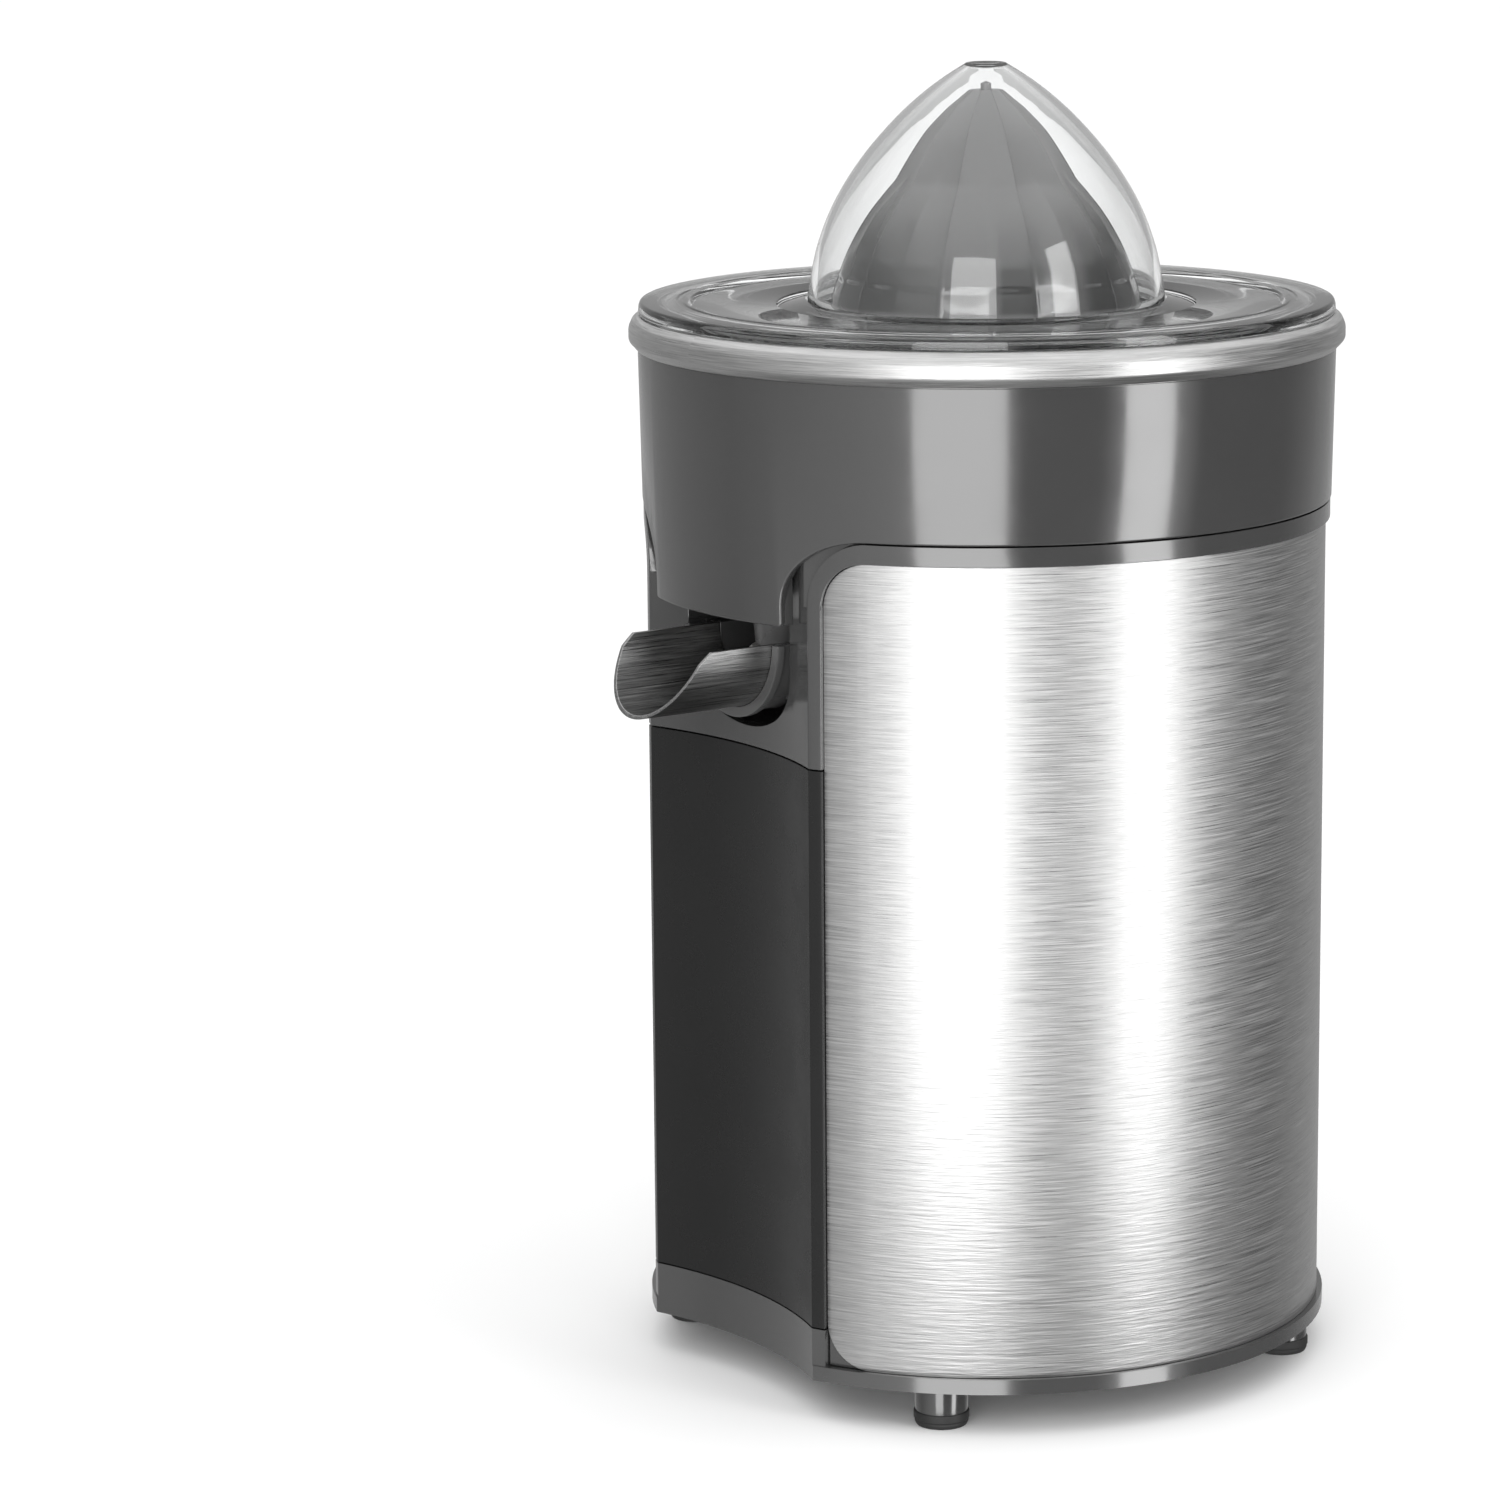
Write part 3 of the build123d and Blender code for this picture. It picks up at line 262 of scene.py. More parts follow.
def brushed(name, low, high, rough, around_spindle=True, strength=0.35, fine=1.0):
    """Brushed metal; the strokes run round the spindle, or along Y on the spout."""
    material, tree, shader = new_material(name)
    place = object_place(tree)
    links = tree.links
    split = tree.nodes.new("ShaderNodeSeparateXYZ")
    shift = tree.nodes.new("ShaderNodeVectorMath")
    shift.operation = "SUBTRACT"
    shift.inputs[1].default_value = SPINDLE
    links.new(place, shift.inputs[0])
    links.new(shift.outputs[0], split.inputs[0])
    join = tree.nodes.new("ShaderNodeCombineXYZ")
    if around_spindle:
        angle = tree.nodes.new("ShaderNodeMath")
        angle.operation = "ARCTAN2"
        links.new(split.outputs["X"], angle.inputs[0])
        links.new(split.outputs["Y"], angle.inputs[1])
        links.new(angle.outputs[0], join.inputs["X"])
        links.new(split.outputs["Z"], join.inputs["Y"])
        stroke = SHEET_R
    else:
        links.new(split.outputs["Y"], join.inputs["X"])
        links.new(split.outputs["X"], join.inputs["Y"])
        links.new(split.outputs["Z"], join.inputs["Z"])
        stroke = 1.0

    def strokes(length, width, detail):
        scale = tree.nodes.new("ShaderNodeVectorMath")
        scale.operation = "MULTIPLY"
        scale.inputs[1].default_value = (stroke / length, 1 / width, 1 / width)
        links.new(join.outputs[0], scale.inputs[0])
        return noise(tree, scale.outputs[0], 1.0, detail=detail, roughness=0.6)

    long = strokes(0.022, 0.0004 * fine, 3)
    short = strokes(0.007, 0.00035 * fine, 4)
    both = tree.nodes.new("ShaderNodeMath")
    both.operation = "ADD"
    links.new(long, both.inputs[0])
    links.new(short, both.inputs[1])
    streak = between(tree, both.outputs[0], 0, 1, 0.75, 1.25)
    colour = two_colours(tree, streak, grey(low), grey(high, (1, 1, 0.995)))
    links.new(colour, shader.inputs["Base Color"])
    links.new(between(tree, long, rough * 0.75, rough * 1.35), shader.inputs["Roughness"])
    wide = strokes(0.012, 0.0011 * fine, 2)
    first = bump(tree, shader, wide, strength, 0.00035)
    bump(tree, shader, short, strength, 0.00005, before=first)
    shader.inputs["Metallic"].default_value = 1.0
    shader.inputs["Anisotropic"].default_value = 0.5
    return material


def machined(name, low, high, rough, tint=(1, 1, 1), scale=400, metallic=1.0):
    """Turned or pressed metal with a cloudy tarnish and fine tool marks."""
    material, tree, shader = new_material(name)
    place = object_place(tree)
    cloud = noise(tree, place, 90, detail=5)
    tree.links.new(two_colours(tree, between(tree, cloud, 0, 1), grey(low, tint), grey(high, tint)),
                   shader.inputs["Base Color"])
    tree.links.new(between(tree, noise(tree, place, 150, detail=4), rough * 0.7, rough * 1.4),
                   shader.inputs["Roughness"])
    stretch = tree.nodes.new("ShaderNodeVectorMath")
    stretch.operation = "MULTIPLY"
    stretch.inputs[1].default_value = (1, 1, 8)
    tree.links.new(place, stretch.inputs[0])
    bump(tree, shader, noise(tree, stretch.outputs[0], scale, detail=2), 0.4, 0.00003)
    shader.inputs["Metallic"].default_value = metallic
    return material


def laminated(name):
    """Stacked motor sheets: thin dark lines between the pressed steel sheets."""
    material, tree, shader = new_material(name)
    place = object_place(tree)
    wave = tree.nodes.new("ShaderNodeTexWave")
    wave.bands_direction = "Z"
    wave.inputs["Scale"].default_value = 320
    wave.inputs["Distortion"].default_value = 0.3
    tree.links.new(place, wave.inputs["Vector"])
    sheets = between(tree, wave.outputs["Fac"], 0, 1, 0.1, 0.45)
    sheet_colour = two_colours(tree, sheets, grey(0.05), grey(0.33, (1, 0.97, 0.93)))
    tree.links.new(sheet_colour, shader.inputs["Base Color"])
    tree.links.new(between(tree, noise(tree, place, 120), 0.35, 0.6), shader.inputs["Roughness"])
    bump(tree, shader, sheets, 0.6, 0.0001)
    shader.inputs["Metallic"].default_value = 0.85
    return material


def wound(name):
    """Enamelled copper turns, seen as fine rows."""
    material, tree, shader = new_material(name)
    place = object_place(tree)
    wave = tree.nodes.new("ShaderNodeTexWave")
    wave.bands_direction = "DIAGONAL"
    wave.inputs["Scale"].default_value = 480
    wave.inputs["Distortion"].default_value = 0.8
    wave.inputs["Detail Scale"].default_value = 4
    tree.links.new(place, wave.inputs["Vector"])
    tree.links.new(two_colours(tree, wave.outputs["Fac"], (0.14, 0.03, 0.012), (0.62, 0.23, 0.09)),
                   shader.inputs["Base Color"])
    tree.links.new(between(tree, noise(tree, place, 100), 0.25, 0.45), shader.inputs["Roughness"])
    bump(tree, shader, wave.outputs["Fac"], 0.8, 0.0001)
    shader.inputs["Metallic"].default_value = 0.7
    return material


def clear_plastic(name):
    """Clear moulded cover, with faint flow lines and smudges."""
    material, tree, shader = new_material(name)
    place = object_place(tree)
    shader.inputs["Base Color"].default_value = (0.97, 0.975, 0.975, 1)
    tree.links.new(between(tree, noise(tree, place, 45, detail=5), 0.0, 0.02), shader.inputs["Roughness"])
    bump(tree, shader, noise(tree, place, 30, detail=1), 0.02, 0.0002)
    shader.inputs["Transmission Weight"].default_value = 1.0
    shader.inputs["IOR"].default_value = 1.49
    return material


def floor_material():
    material, tree, shader = new_material("pale_floor")
    place = object_place(tree)
    cloud = between(tree, noise(tree, place, 3, detail=2), 0, 1)
    level = two_colours(tree, cloud, grey(FLOOR_LEVEL * 0.995), grey(FLOOR_LEVEL))
    tree.links.new(level, shader.inputs["Base Color"])
    tree.links.new(between(tree, noise(tree, place, 25), 0.75, 0.85), shader.inputs["Roughness"])
    shader.inputs["Specular IOR Level"].default_value = 0.1
    return material


DARK_GLOSS = plastic("dark_gloss", 0.03, 0.12, grain=900, depth=0.000003, spread=0.12, ior=1.9, wear=0.25)
HOLDER_GREY = plastic("holder_grey", 0.055, 0.2, grain=900, depth=0.000005, spread=0.15, ior=1.6, wear=0.4)
DARK_SATIN = plastic("dark_satin", 0.009, 0.26, grain=1100, depth=0.000008, spread=0.12, ior=1.38, wear=0.3)
CONE_GREY = plastic("cone_grey", 0.085, 0.13, grain=900, depth=0.0000008, spread=0.08, ior=1.8, wear=0.0)
LIGHT_GREY = plastic("light_grey", 0.14, 0.28, grain=1000, spread=0.15, wear=0.3)
RUBBER = plastic("rubber", 0.012, 0.62, grain=1800, depth=0.00004, spread=0.4, wear=0.5)
NATURAL = plastic("natural_plastic", 0.62, 0.38, grain=700, tint=(1, 0.97, 0.88), wear=0.1)
BLACK_PLASTIC = plastic("black_plastic", 0.02, 0.4, grain=900, wear=0.4)
SILICONE = plastic("silicone", 0.5, 0.5, grain=1100, tint=(1, 0.98, 0.95), wear=0.05)
STEEL = brushed("brushed_steel", 0.4, 0.56, 0.34, strength=0.22, fine=0.7)
SPOUT_STEEL = brushed("spout_steel", 0.17, 0.4, 0.32, around_spindle=False, strength=0.25, fine=0.8)
MACHINED = machined("machined_steel", 0.38, 0.62, 0.3)
SPRING_STEEL = machined("spring_steel", 0.45, 0.68, 0.22, scale=900)
BRONZE = machined("bronze", 0.35, 0.6, 0.4, tint=(1.0, 0.66, 0.36))
ZINC = machined("zinc_plate", 0.45, 0.7, 0.34, tint=(1, 1, 0.97))
LAMINATION = laminated("lamination")
WINDING = wound("winding")
CLEAR = clear_plastic("clear_cover")


# ---- meshes ----
def finish_mesh(name, mesh, body, replaces, material, sharp=32):
    """Turn a bmesh into a piece that rides on a body and stands for CAD nodes."""
    bmesh.ops.recalc_face_normals(mesh, faces=mesh.faces)
    data = bpy.data.meshes.new(name)
    mesh.to_mesh(data)
    mesh.free()
    data.polygons.foreach_set("use_smooth", [True] * len(data.polygons))
    data.set_sharp_from_angle(angle=radians(sharp))
    piece = bpy.data.objects.new(name, data)
    scene.collection.objects.link(piece)
    data.materials.append(material)
    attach(piece, body)
    if replaces:
        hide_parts(*replaces)
    return piece


def rounded(points, steps=5):
    """Closed outline through (x, y, radius) corners, each rounded by an arc of its radius."""
    out = []
    for i, (x, y, radius) in enumerate(points):
        here = Vector((x, y))
        before = Vector(points[i - 1][:2]) - here
        after = Vector(points[(i + 1) % len(points)][:2]) - here
        if radius <= 0:
            out.append(here)
            continue
        half = before.angle(after) / 2
        reach = min(radius / tan(half), before.length * 0.49, after.length * 0.49)
        size = reach * tan(half)
        start, stop = here + before.normalized() * reach, here + after.normalized() * reach
        centre = here + (before.normalized() + after.normalized()).normalized() * (size / sin(half))
        first = start - centre
        sweep = first.angle_signed(stop - centre)
        for step in range(steps + 1):
            turn = -sweep * step / steps
            out.append(centre + Vector((first.x * cos(turn) - first.y * sin(turn),
                                        first.x * sin(turn) + first.y * cos(turn))))
    return out


def lathe(outline, centre=None, segments=180):
    """Surface of revolution about an upright axis from a closed outline of (radius, height)."""
    centre = SPINDLE if centre is None else centre
    mesh = bmesh.new()
    rings = []
    for step in range(segments):
        turn = 2 * pi * step / segments
        rings.append([mesh.verts.new((centre.x + max(radius, 0) * sin(turn),
                                      centre.y - max(radius, 0) * cos(turn), height))
                      for radius, height in outline])
    for step in range(segments):
        here, there = rings[step], rings[(step + 1) % segments]
        for i in range(len(outline)):
            j = (i + 1) % len(outline)
            if max(outline[i][0], outline[j][0]) > 1e-6:
                mesh.faces.new((here[i], here[j], there[j], there[i]))
    bmesh.ops.remove_doubles(mesh, verts=mesh.verts, dist=1e-7)
    return mesh


def wrapped(outline, radius_at, thickness, edge, middle=0.0, every=radians(2)):
    """Sheet cut to an outline of (arc, height) on a cylinder, its edges rounded, bent round the spindle.

    The arc is in radians from the middle bearing, and radius_at gives the outer radius at a height.
    A sheet that goes all the way round closes on itself."""
    unroll = radius_at(outline[0][1])
    mesh = bmesh.new()
    mesh.faces.new([mesh.verts.new((x * unroll, 0, z)) for x, z in outline])
    reach = max(abs(x) for x, z in outline)
    count = int(reach / every)
    for step in range(-count, count + 1):
        everything = mesh.verts[:] + mesh.edges[:] + mesh.faces[:]
        bmesh.ops.bisect_plane(mesh, geom=everything, dist=1e-7, plane_co=(step * every * unroll, 0, 0),
                               plane_no=(1, 0, 0))
    back = {v: mesh.verts.new((v.co.x, thickness, v.co.z)) for v in mesh.verts[:]}
    rim = [e for e in mesh.edges if len(e.link_faces) == 1]
    for face in mesh.faces[:]:
        mesh.faces.new([back[v] for v in reversed(face.verts)])
    seam = pi * unroll * 0.9999
    outer = []
    for e in rim:
        one, two = e.verts
        if min(abs(one.co.x), abs(two.co.x)) < seam:
            mesh.faces.new((one, two, back[two], back[one]))
            outer.append(e)
    bmesh.ops.recalc_face_normals(mesh, faces=mesh.faces)
    bmesh.ops.bevel(mesh, geom=outer, offset=edge, segments=3, profile=0.5, affect="EDGES",
                    clamp_overlap=False)
    for v in mesh.verts:
        turn, radius = middle + v.co.x / unroll, radius_at(v.co.z) - v.co.y
        v.co = (SPINDLE.x + radius * sin(turn), SPINDLE.y - radius * cos(turn), v.co.z)
    bmesh.ops.remove_doubles(mesh, verts=mesh.verts, dist=1e-6)
    return mesh


def joined(*parts):
    """Several bmeshes as one."""
    whole = bmesh.new()
    for part in parts:
        data = bpy.data.meshes.new("part")
        part.to_mesh(data)
        part.free()
        whole.from_mesh(data)
        bpy.data.meshes.remove(data)
    return whole


def cuboid(low, high, edge):
    """Block between two corners, with rounded edges."""
    mesh = bmesh.new()
    bmesh.ops.create_cube(mesh, size=1)
    size, middle = high - low, (high + low) / 2
    for v in mesh.verts:
        v.co = Vector((v.co.x * size.x, v.co.y * size.y, v.co.z * size.z)) + middle
    bmesh.ops.bevel(mesh, geom=mesh.edges[:], offset=edge, segments=3, profile=0.5, affect="EDGES")
    return mesh


def softened(node, width, segments=2, angle=32):
    """The CAD node's shape with its flat faces joined and its sharp edges rounded."""
    mesh = bmesh.new()
    mesh.from_mesh(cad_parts[node].data)
    bmesh.ops.remove_doubles(mesh, verts=mesh.verts, dist=2e-6)
    shape = BVHTree.FromBMesh(mesh)
    bmesh.ops.dissolve_limit(mesh, angle_limit=radians(0.6), verts=mesh.verts, edges=mesh.edges)
    sharp = [e for e in mesh.edges if len(e.link_faces) == 2 and e.calc_face_angle(0) > radians(angle)]
    bmesh.ops.bevel(mesh, geom=sharp, offset=width, segments=segments, profile=0.5, affect="EDGES",
                    clamp_overlap=False, harden_normals=False)
    bmesh.ops.triangulate(mesh, faces=[f for f in mesh.faces if len(f.verts) > 4])
    for vert in mesh.verts:
        near, _, _, away = shape.find_nearest(vert.co)
        if away > width * 0.8:
            vert.co = near
    return mesh


def paint(node, material):
    """Give a CAD node that stays a finished material."""
    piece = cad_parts[node]
    if not piece.material_slots:
        piece.data.materials.append(material)
    for slot in piece.material_slots:
        slot.material = material


CAD_FINISHES = {
    BLACK_PLASTIC: ("terminal_block", "microswitch", "cord_gland", "cooling_fan"),
    MACHINED: ("drive_shaft", "idler_pin", "motor_shaft", "spout_pin", "motor_studs", "motor_pinion"),
    ZINC: ("base_screws", "gearbox_screws", "spring_bracket", "motor_upper_bracket", "motor_lower_bracket"),
    SPRING_STEEL: ("return_spring",),
    NATURAL: ("output_gear", "idler_gear", "press_carriage", "switch_plunger", "gearbox_housing",
              "gearbox_cover"),
    BRONZE: ("upper_bush", "lower_bush", "motor_bushes"),
    LAMINATION: ("motor_core", "rotor"),
    WINDING: ("motor_coil",),
    SILICONE: ("shaft_seal", "spout_seal"),
    DARK_SATIN: ("deck", "front_cover", "spout_holder"),
    DARK_GLOSS: ("bowl", "base_housing", "main_housing", "feet"),
    CONE_GREY: ("large_cone", "small_cone"),
    STEEL: ("steel_wrap", "rim_band"),
    SPOUT_STEEL: ("spout_trough",),
    RUBBER: ("rubber_tips",),
    LIGHT_GREY: ("strainer",),
    CLEAR: ("dust_cover",),
}


# ---- pieces ----
def from_mm(points):
    """Outline corners given in millimetres, as metres."""
    return [tuple(v * MM for v in point) for point in points]


def islands(node):
    """Middles, in plan, of a CAD node's separate solids."""
    mesh = bmesh.new()
    mesh.from_mesh(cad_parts[node].data)
    bmesh.ops.remove_doubles(mesh, verts=mesh.verts, dist=2e-6)
    left, middles = set(mesh.verts), []
    while left:
        group, edge = set(), [left.pop()]
        while edge:
            vert = edge.pop()
            group.add(vert)
            for near in (e.other_vert(vert) for e in vert.link_edges):
                if near in left:
                    left.remove(near)
                    edge.append(near)
        xs, ys = [v.co.x for v in group], [v.co.y for v in group]
        middles.append(Vector(((min(xs) + max(xs)) / 2, (min(ys) + max(ys)) / 2, 0)))
    mesh.free()
    return middles


def several(name, outline, places, body, replaces, material, segments=72):
    """One piece made of the same turned shape at several places."""
    whole = joined(*(lathe(rounded(outline), place, segments) for place in places))
    return finish_mesh(name, whole, body, replaces, material)


def make_feet():
    feet_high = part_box("feet")[1].z / MM
    places = islands("rubber_tips")
    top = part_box("rubber_tips")[1].z / MM
    several("foot_posts", from_mm([(0, top - 1, 0), (5.9, top - 1, 0.4), (6.0, 9.4, 0.2), (2.4, 9.4, 0),
                                   (2.4, feet_high, 0.3), (0, feet_high, 0)]),
            places, "base", ["feet"], DARK_GLOSS)
    several("foot_tips", from_mm([(0, 0.4, 0), (3.6, 0.4, 0.1), (4.0, 0, 0.1), (5.7, 0, 0.5),
                                  (6.05, 0.9, 0.3), (5.9, 1.3, 0.15), (6.25, 1.6, 0.2), (6.25, top, 0.35),
                                  (3.1, top, 0), (3.1, top - 1.6, 0), (0, top - 1.6, 0)]),
            places, "base", ["rubber_tips"], RUBBER)


def make_rim_band():
    low, high = band_low.z / MM, band_high.z / MM
    band = BAND_R / MM
    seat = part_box("bowl")[1].z / MM
    inner = 79.3
    outline = from_mm([(band - 4, high, 0.2), (band - 4, seat, 0), (inner, seat, 0), (inner, low, 0),
                       (inner + 0.4, low, 0.1), (band, low + 1.9, 1.2), (band, low + 4.6, 2.5),
                       (band - 0.8, high - 1.2, 1.4), (band - 2.3, high, 0.8)])
    ring = lathe(rounded(outline), segments=240)
    finish_mesh("rim_ring", ring, "juice_bowl", ["rim_band"], STEEL)


# outer line of the dome, from its foot to its flat top, as radius and height in millimetres
DOME = ((40.8, 244.5), (39.4, 252.3), (38.0, 257.8), (35.4, 264.6), (31.7, 271.4), (26.9, 278.2),
        (20.9, 285.0), (16.07, 289.55), (11.5, 293.2), (7.52, 295.9), (4.9, 297.5))


def offset_line(points, by):
    """A line moved sideways, towards its left."""
    out = []
    for i, here in enumerate(points):
        before, after = points[max(i - 1, 0)], points[min(i + 1, len(points) - 1)]
        along = (Vector(after) - Vector(before)).normalized()
        out.append((here[0] - along.y * by, here[1] + along.x * by))
    return out


def smooth_line(points, steps=4):
    """Catmull-Rom curve through points."""
    out = []
    for i in range(len(points) - 1):
        p0, p1 = Vector(points[max(i - 1, 0)]), Vector(points[i])
        p2, p3 = Vector(points[i + 1]), Vector(points[min(i + 2, len(points) - 1)])
        for step in range(steps):
            t = step / steps
            out.append(tuple(0.5 * (2 * p1 + (p2 - p0) * t + (2 * p0 - 5 * p1 + 4 * p2 - p3) * t * t
                                    + (3 * p1 - p0 - 3 * p2 + p3) * t * t * t)))
    out.append(tuple(points[-1]))
    return out


def make_cover():
    """Stepped flange, flat disc and dome as one turned wall."""
    wall = 1.5
    outside = smooth_line(DOME)
    inside = offset_line(outside, wall)
    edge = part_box("dust_cover")[1].x / MM
    low = band_high.z / MM + 0.3
    top, disc = 244.8, 243.9
    under = disc - wall
    flange = rounded([(edge - 6.0, low - 4.2, 0.2), (edge - 5.0, low - 4.2, 0.2),
                      (edge - 4.6, low + 0.1, 0.1), (edge, low + 0.1, 0.1),
                      (edge - 0.15, low + 1.5, 0.3), (edge - 0.5, top, 0.9),
                      (70.6, top, 0.15), (70.2, top - 0.25, 0.1), (69.2, top - 0.25, 0.1), (68.8, top, 0.15),
                      (67.4, top, 0.3), (66.6, disc, 0.3), (43.0, disc, 0.5)], steps=4)
    crown = [(4.5, 297.8), (4.1, 297.88), (3.5, 297.7), (3.1, 297.4), (0, 297.3), (0, 295.9), (3.4, 295.9)]
    underside = [(41.2, under), (42.5, under), (65.8, under - 0.1), (66.8, under + 0.2),
                 (edge - 6.0, under + 0.2)]
    outline = [tuple(p) for p in flange] + outside + crown + inside[::-1] + underside
    finish_mesh("cover_dome", lathe(from_mm(outline), segments=240), "cover", ["dust_cover"], CLEAR,
                sharp=40)


# line along the top of the ribs, from the tip to the skirt, as radius and height in millimetres
CREST = ((3.75, 291.35), (6.0, 289.55), (9.3, 286.8), (13.15, 282.8), (16.4, 278.2), (19.15, 273.7),
         (20.5, 271.4), (22.4, 269.2), (26.1, 264.6), (29.0, 260.1), (31.4, 255.5), (33.3, 250.8),
         (34.6, 246.9), (35.3, 244.1))
CONE_TIP = CREST[0][1]
SKIRT_TOP = 243.9
SHOULDER_Z = 273.4       # the short ribs begin here
RIBS = 10
FLUTE_DEPTH = 0.062      # share of the radius
FADE_FROM = 0.88         # share of the way down, after which the flutes fade out
CREST_LIFT = 0.16
SKIRT_LINE_DEPTH = 0.3
SKIRT_LINE_HALF = 0.013  # share of one rib's turn


def flute_depth(radius, height):
    down = (CONE_TIP - height) / (CONE_TIP - SKIRT_TOP)
    if down < FADE_FROM:
        return FLUTE_DEPTH * radius * sin(pi * min(1, down * 1.15 + 0.12)) ** 0.6
    return FLUTE_DEPTH * radius * 0.35 * (1 - (down - FADE_FROM) / (1 - FADE_FROM)) ** 0.5


def ribbed(radius, height, turn):
    """Radius of the cone's surface at a turn, where the crest line has the given radius."""
    phase = (turn * RIBS / (2 * pi)) % 1.0
    from_long = min(phase, 1 - phase)
    from_short = abs(phase - 0.5)
    if height <= SKIRT_TOP - 0.2:
        return radius - (SKIRT_LINE_DEPTH if min(from_long, from_short) < SKIRT_LINE_HALF else 0)
    swell = max(0.0, min(1.0, (SHOULDER_Z - height) / 9))
    long_dip = 1 - max(0.0, 1 - from_long / 0.5) ** 2.2
    short_rib = max(0.0, 1 - from_short / 0.42) ** 2.0
    dip = flute_depth(radius, height) * long_dip * (1 - swell * short_rib * 0.85)
    crisp = CREST_LIFT * max(0.0, 1 - from_long / 0.02)
    return radius - dip - CREST_LIFT + crisp


def make_cone():
    """Ribbed reamer: shallow flutes between long ribs, and short ribs that begin at the shoulder."""
    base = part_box("large_cone")[0].z / MM
    skirt = [(35.3, SKIRT_TOP), (35.05, 243.6), (35.05, 243.2), (35.5, 242.9), (35.6, 242.2), (35.9, 239.5),
             (36.15, base + 0.3), (36.0, base)]
    inner = [(32.5, base), (32.0, 244.1), (29.0, 253.8), (25.8, 259.6), (17.6, 270.5), (10.6, 281.0),
             (3.4, 288.6), (1.6, 289.9), (1.6, 291.2)]
    turns = [2 * pi * step / (RIBS * 40) for step in range(RIBS * 40)]
    mesh = bmesh.new()

    def row(height, radii):
        return [mesh.verts.new((SPINDLE.x + r * MM * sin(turn), SPINDLE.y - r * MM * cos(turn), height * MM))
                for turn, r in zip(turns, radii)]

    rows = [row(height, [ribbed(radius, height, turn) for turn in turns])
            for radius, height in smooth_line(CREST, steps=6) + skirt]
    rows += [row(height, [radius] * len(turns)) for radius, height in inner]
    for here, there in zip(rows, rows[1:] + rows[:1]):
        for step in range(len(turns)):
            after = (step + 1) % len(turns)
            mesh.faces.new((here[step], here[after], there[after], there[step]))
    finish_mesh("reamer_cone", mesh, "reamer", ["large_cone"], CONE_GREY, sharp=50)


BIB_HALF = radians(18.3)
SHOULDER_HALF = radians(34.2)
SHOULDER_DROP = 0.0153   # height of the rounded shoulder above the bib
BIB_CORNER = 0.0008
BOWL_FOOT_Z = 0.1998
BOWL_FOOT_R = 0.0787
BOWL_DRAFT = 0.0007      # the wall leans out by this much up to the rim band
CHEEK_X = 0.0223         # inner face of the ribs behind the bib's side edges
CHEEK = 0.0018
OUTLET_AHEAD = 0.057
STEEL_OPEN = 26          # degrees from the front line to the steel's edge
STEEL_CORNER = 0.0105


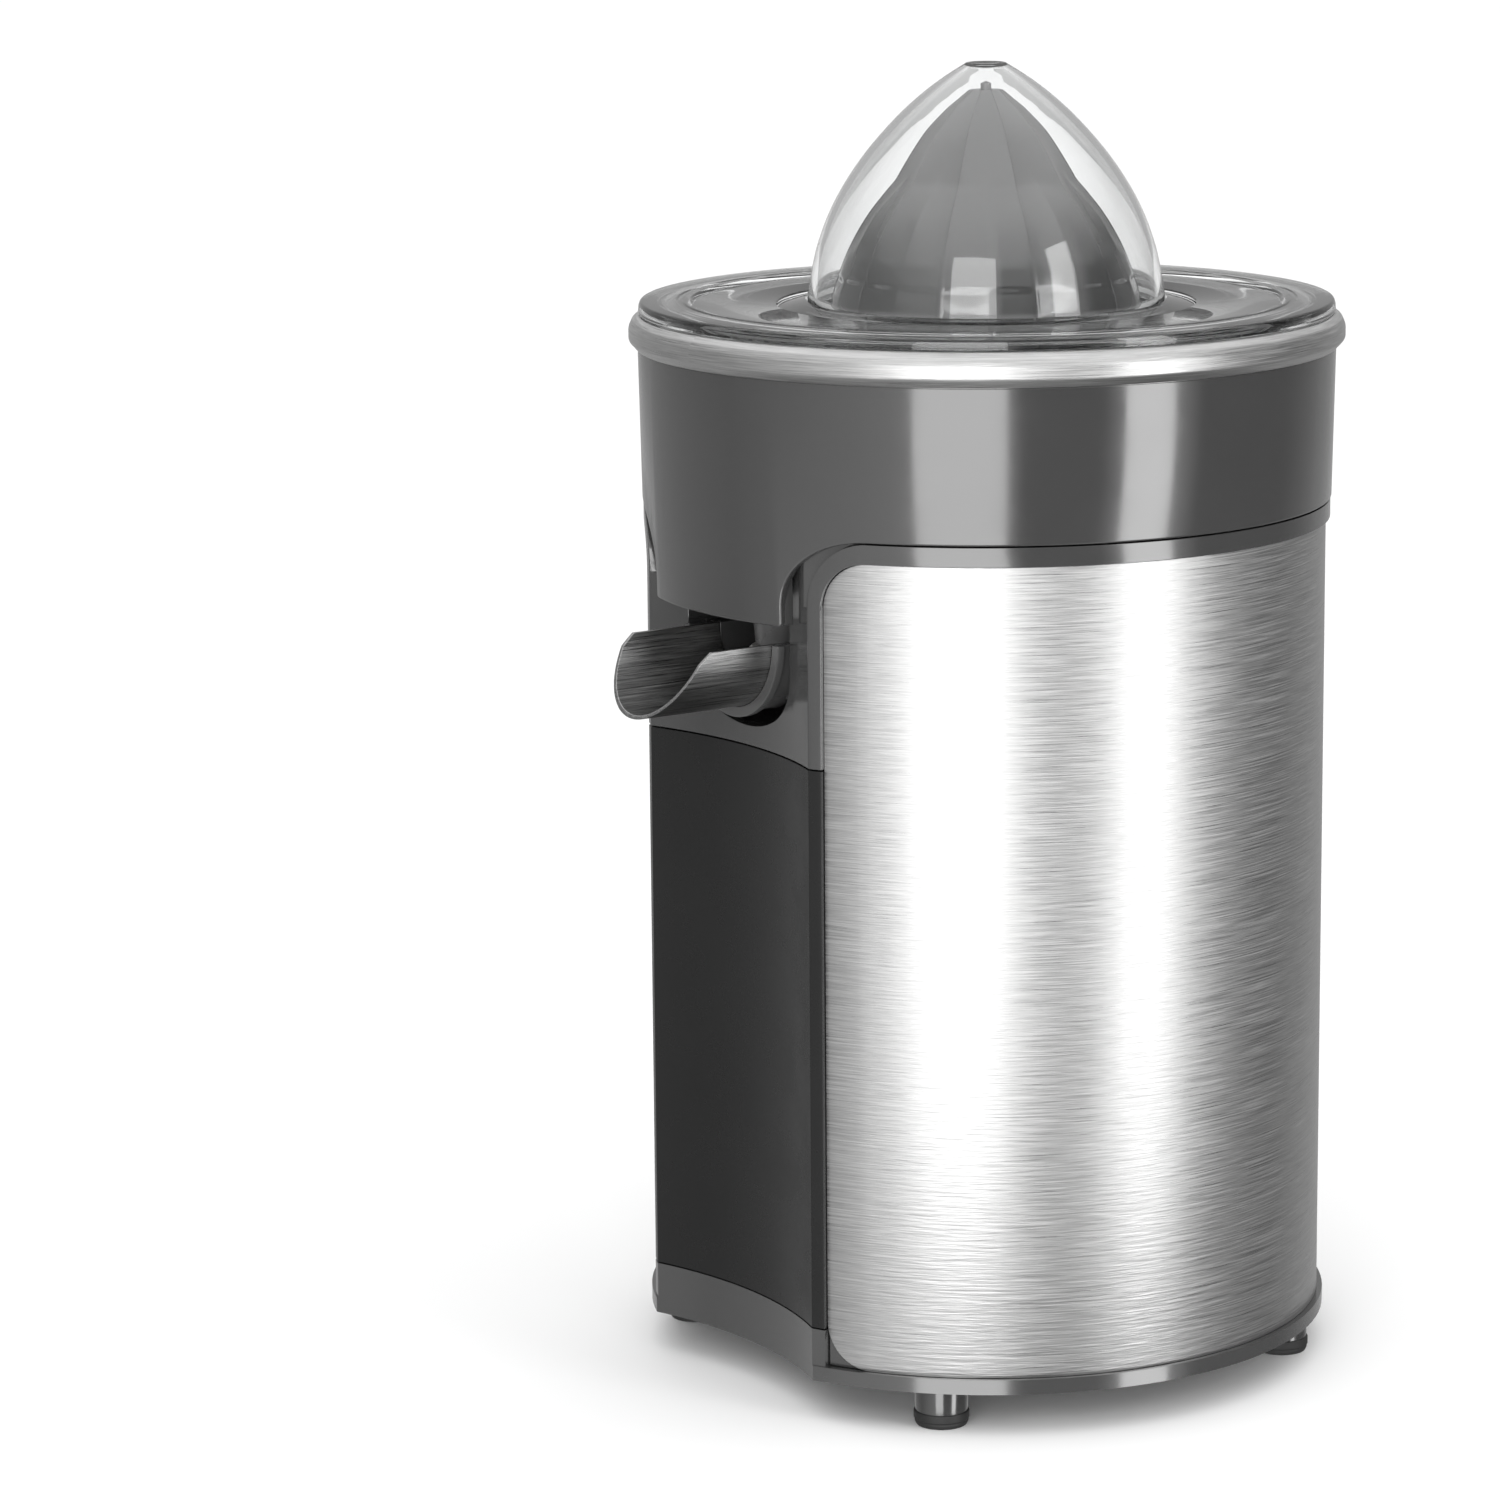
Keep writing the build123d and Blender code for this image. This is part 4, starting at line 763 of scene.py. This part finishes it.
def make_bowl():
    """Wall and bib as one skin, then the floor, the chimney and the outlet inside it."""
    rim = band_low.z
    bib_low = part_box("spout_trough")[1].z + 0.0055
    shoulder = BOWL_FOOT_Z - SHOULDER_DROP

    def radius_at(z):
        return BOWL_FOOT_R + BOWL_DRAFT * (z - BOWL_FOOT_Z) / (rim - BOWL_FOOT_Z)

    turns = [i / 16 * pi / 2 for i in range(17)]
    right = [(SHOULDER_HALF - (SHOULDER_HALF - BIB_HALF) * sin(t), shoulder + SHOULDER_DROP * cos(t))
             for t in turns]
    corner = [(BIB_HALF - BIB_CORNER / BOWL_FOOT_R * (1 - cos(t)), bib_low + BIB_CORNER * (1 - sin(t)))
              for t in turns[::4]]
    half = [(pi, rim), (pi, BOWL_FOOT_Z)] + right + corner
    outline = half + [(-x, z) for x, z in reversed(half)]
    skin = wrapped(outline, radius_at, 0.0022, 0.00045)
    inside = lathe(rounded(from_mm([
        (8.2, 203, 0), (75.6, 203, 0), (76.6, 199.9, 0.3), (77.0, 199.9, 0.3), (77.3, 204, 0),
        (77.8, 233.9, 0), (79.3, 233.9, 0), (79.3, 240.8, 0.2), (77.2, 240.8, 0.3), (76.5, 207.5, 3),
        (72, 205.2, 3), (11.2, 205.2, 1), (10, 208, 2), (9.9, 227.5, 0.6), (8.2, 227.5, 0.6)])))
    cheeks = [cuboid(Vector((min(x, x + side * CHEEK), SPINDLE.y - 0.0738, bib_low + 0.0002)),
                     Vector((max(x, x + side * CHEEK), SPINDLE.y - 0.0706, BOWL_FOOT_Z + 0.003)), 0.0003)
              for side, x in ((1, CHEEK_X), (-1, -CHEEK_X))]
    finish_mesh("bowl_shell", joined(skin, inside, *cheeks), "juice_bowl", ["bowl"], DARK_GLOSS)
    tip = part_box("bowl")[0].z / MM
    outline = from_mm([(5.0, tip, 0.2), (6.0, tip, 0.3), (6.5, tip + 5, 2), (6.6, 203.5, 0), (5.0, 203.5, 0)])
    tube = lathe(rounded(outline), Vector((0, SPINDLE.y - OUTLET_AHEAD, 0)), 72)
    finish_mesh("outlet_nozzle", tube, "juice_bowl", ["bowl"], LIGHT_GREY)


def make_steel_sheet():
    """One bent sheet with rounded corners, open at the front."""
    low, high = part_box("steel_wrap")
    radius = (high.x - low.x) / 2
    end = radians(180 - STEEL_OPEN)
    turns = [i / 14 * pi / 2 for i in range(15)]
    top = [(end - STEEL_CORNER / radius * (1 - sin(t)), high.z - STEEL_CORNER * (1 - cos(t))) for t in turns]
    bottom = [(x, low.z + high.z - z) for x, z in reversed(top)]
    half = [(0, high.z)] + top + bottom + [(0, low.z)]
    outline = half + [(-x, z) for x, z in reversed(half[1:-1])]
    sheet = wrapped(outline, lambda z: radius, 0.0006, 0.00018, middle=pi)
    finish_mesh("steel_sheet", sheet, "base", ["steel_wrap"], STEEL)


def soft_shell(name, node, width, body, material):
    """A moulded piece whose CAD shape is right, with its edges rounded and its wide faces shaded flat."""
    piece = finish_mesh(name, softened(node, width), body, [node], material)
    normals = piece.modifiers.new("normals", "WEIGHTED_NORMAL")
    normals.keep_sharp = True


def make_soft_shells():
    soft_shell("front_frame", "main_housing", 0.00025, "base", DARK_GLOSS)
    soft_shell("front_panel", "front_cover", 0.0002, "base", DARK_SATIN)
    soft_shell("spout_block", "spout_holder", 0.0003, "spout", HOLDER_GREY)
    soft_shell("spout_channel", "spout_trough", 0.00015, "spout", SPOUT_STEEL)


def make_floor():
    bpy.ops.mesh.primitive_plane_add(size=FLOOR_SIZE)
    floor = bpy.context.object
    floor.name = "floor"
    floor.visible_glossy = False
    floor.visible_shadow = False
    floor.data.materials.append(floor_material())


for finish, members in CAD_FINISHES.items():
    for member in members:
        paint(member, finish)
make_camera()
make_studio()
softbox("key_light", azimuth=-10.5, half_angle=15, radiance=3.15)
softbox("side_light", azimuth=51, half_angle=8.7, radiance=4.1)
make_floor()
make_feet()
make_rim_band()
make_cover()
make_cone()
make_bowl()
make_steel_sheet()
make_soft_shells()

scene.view_settings.view_transform = "Standard"
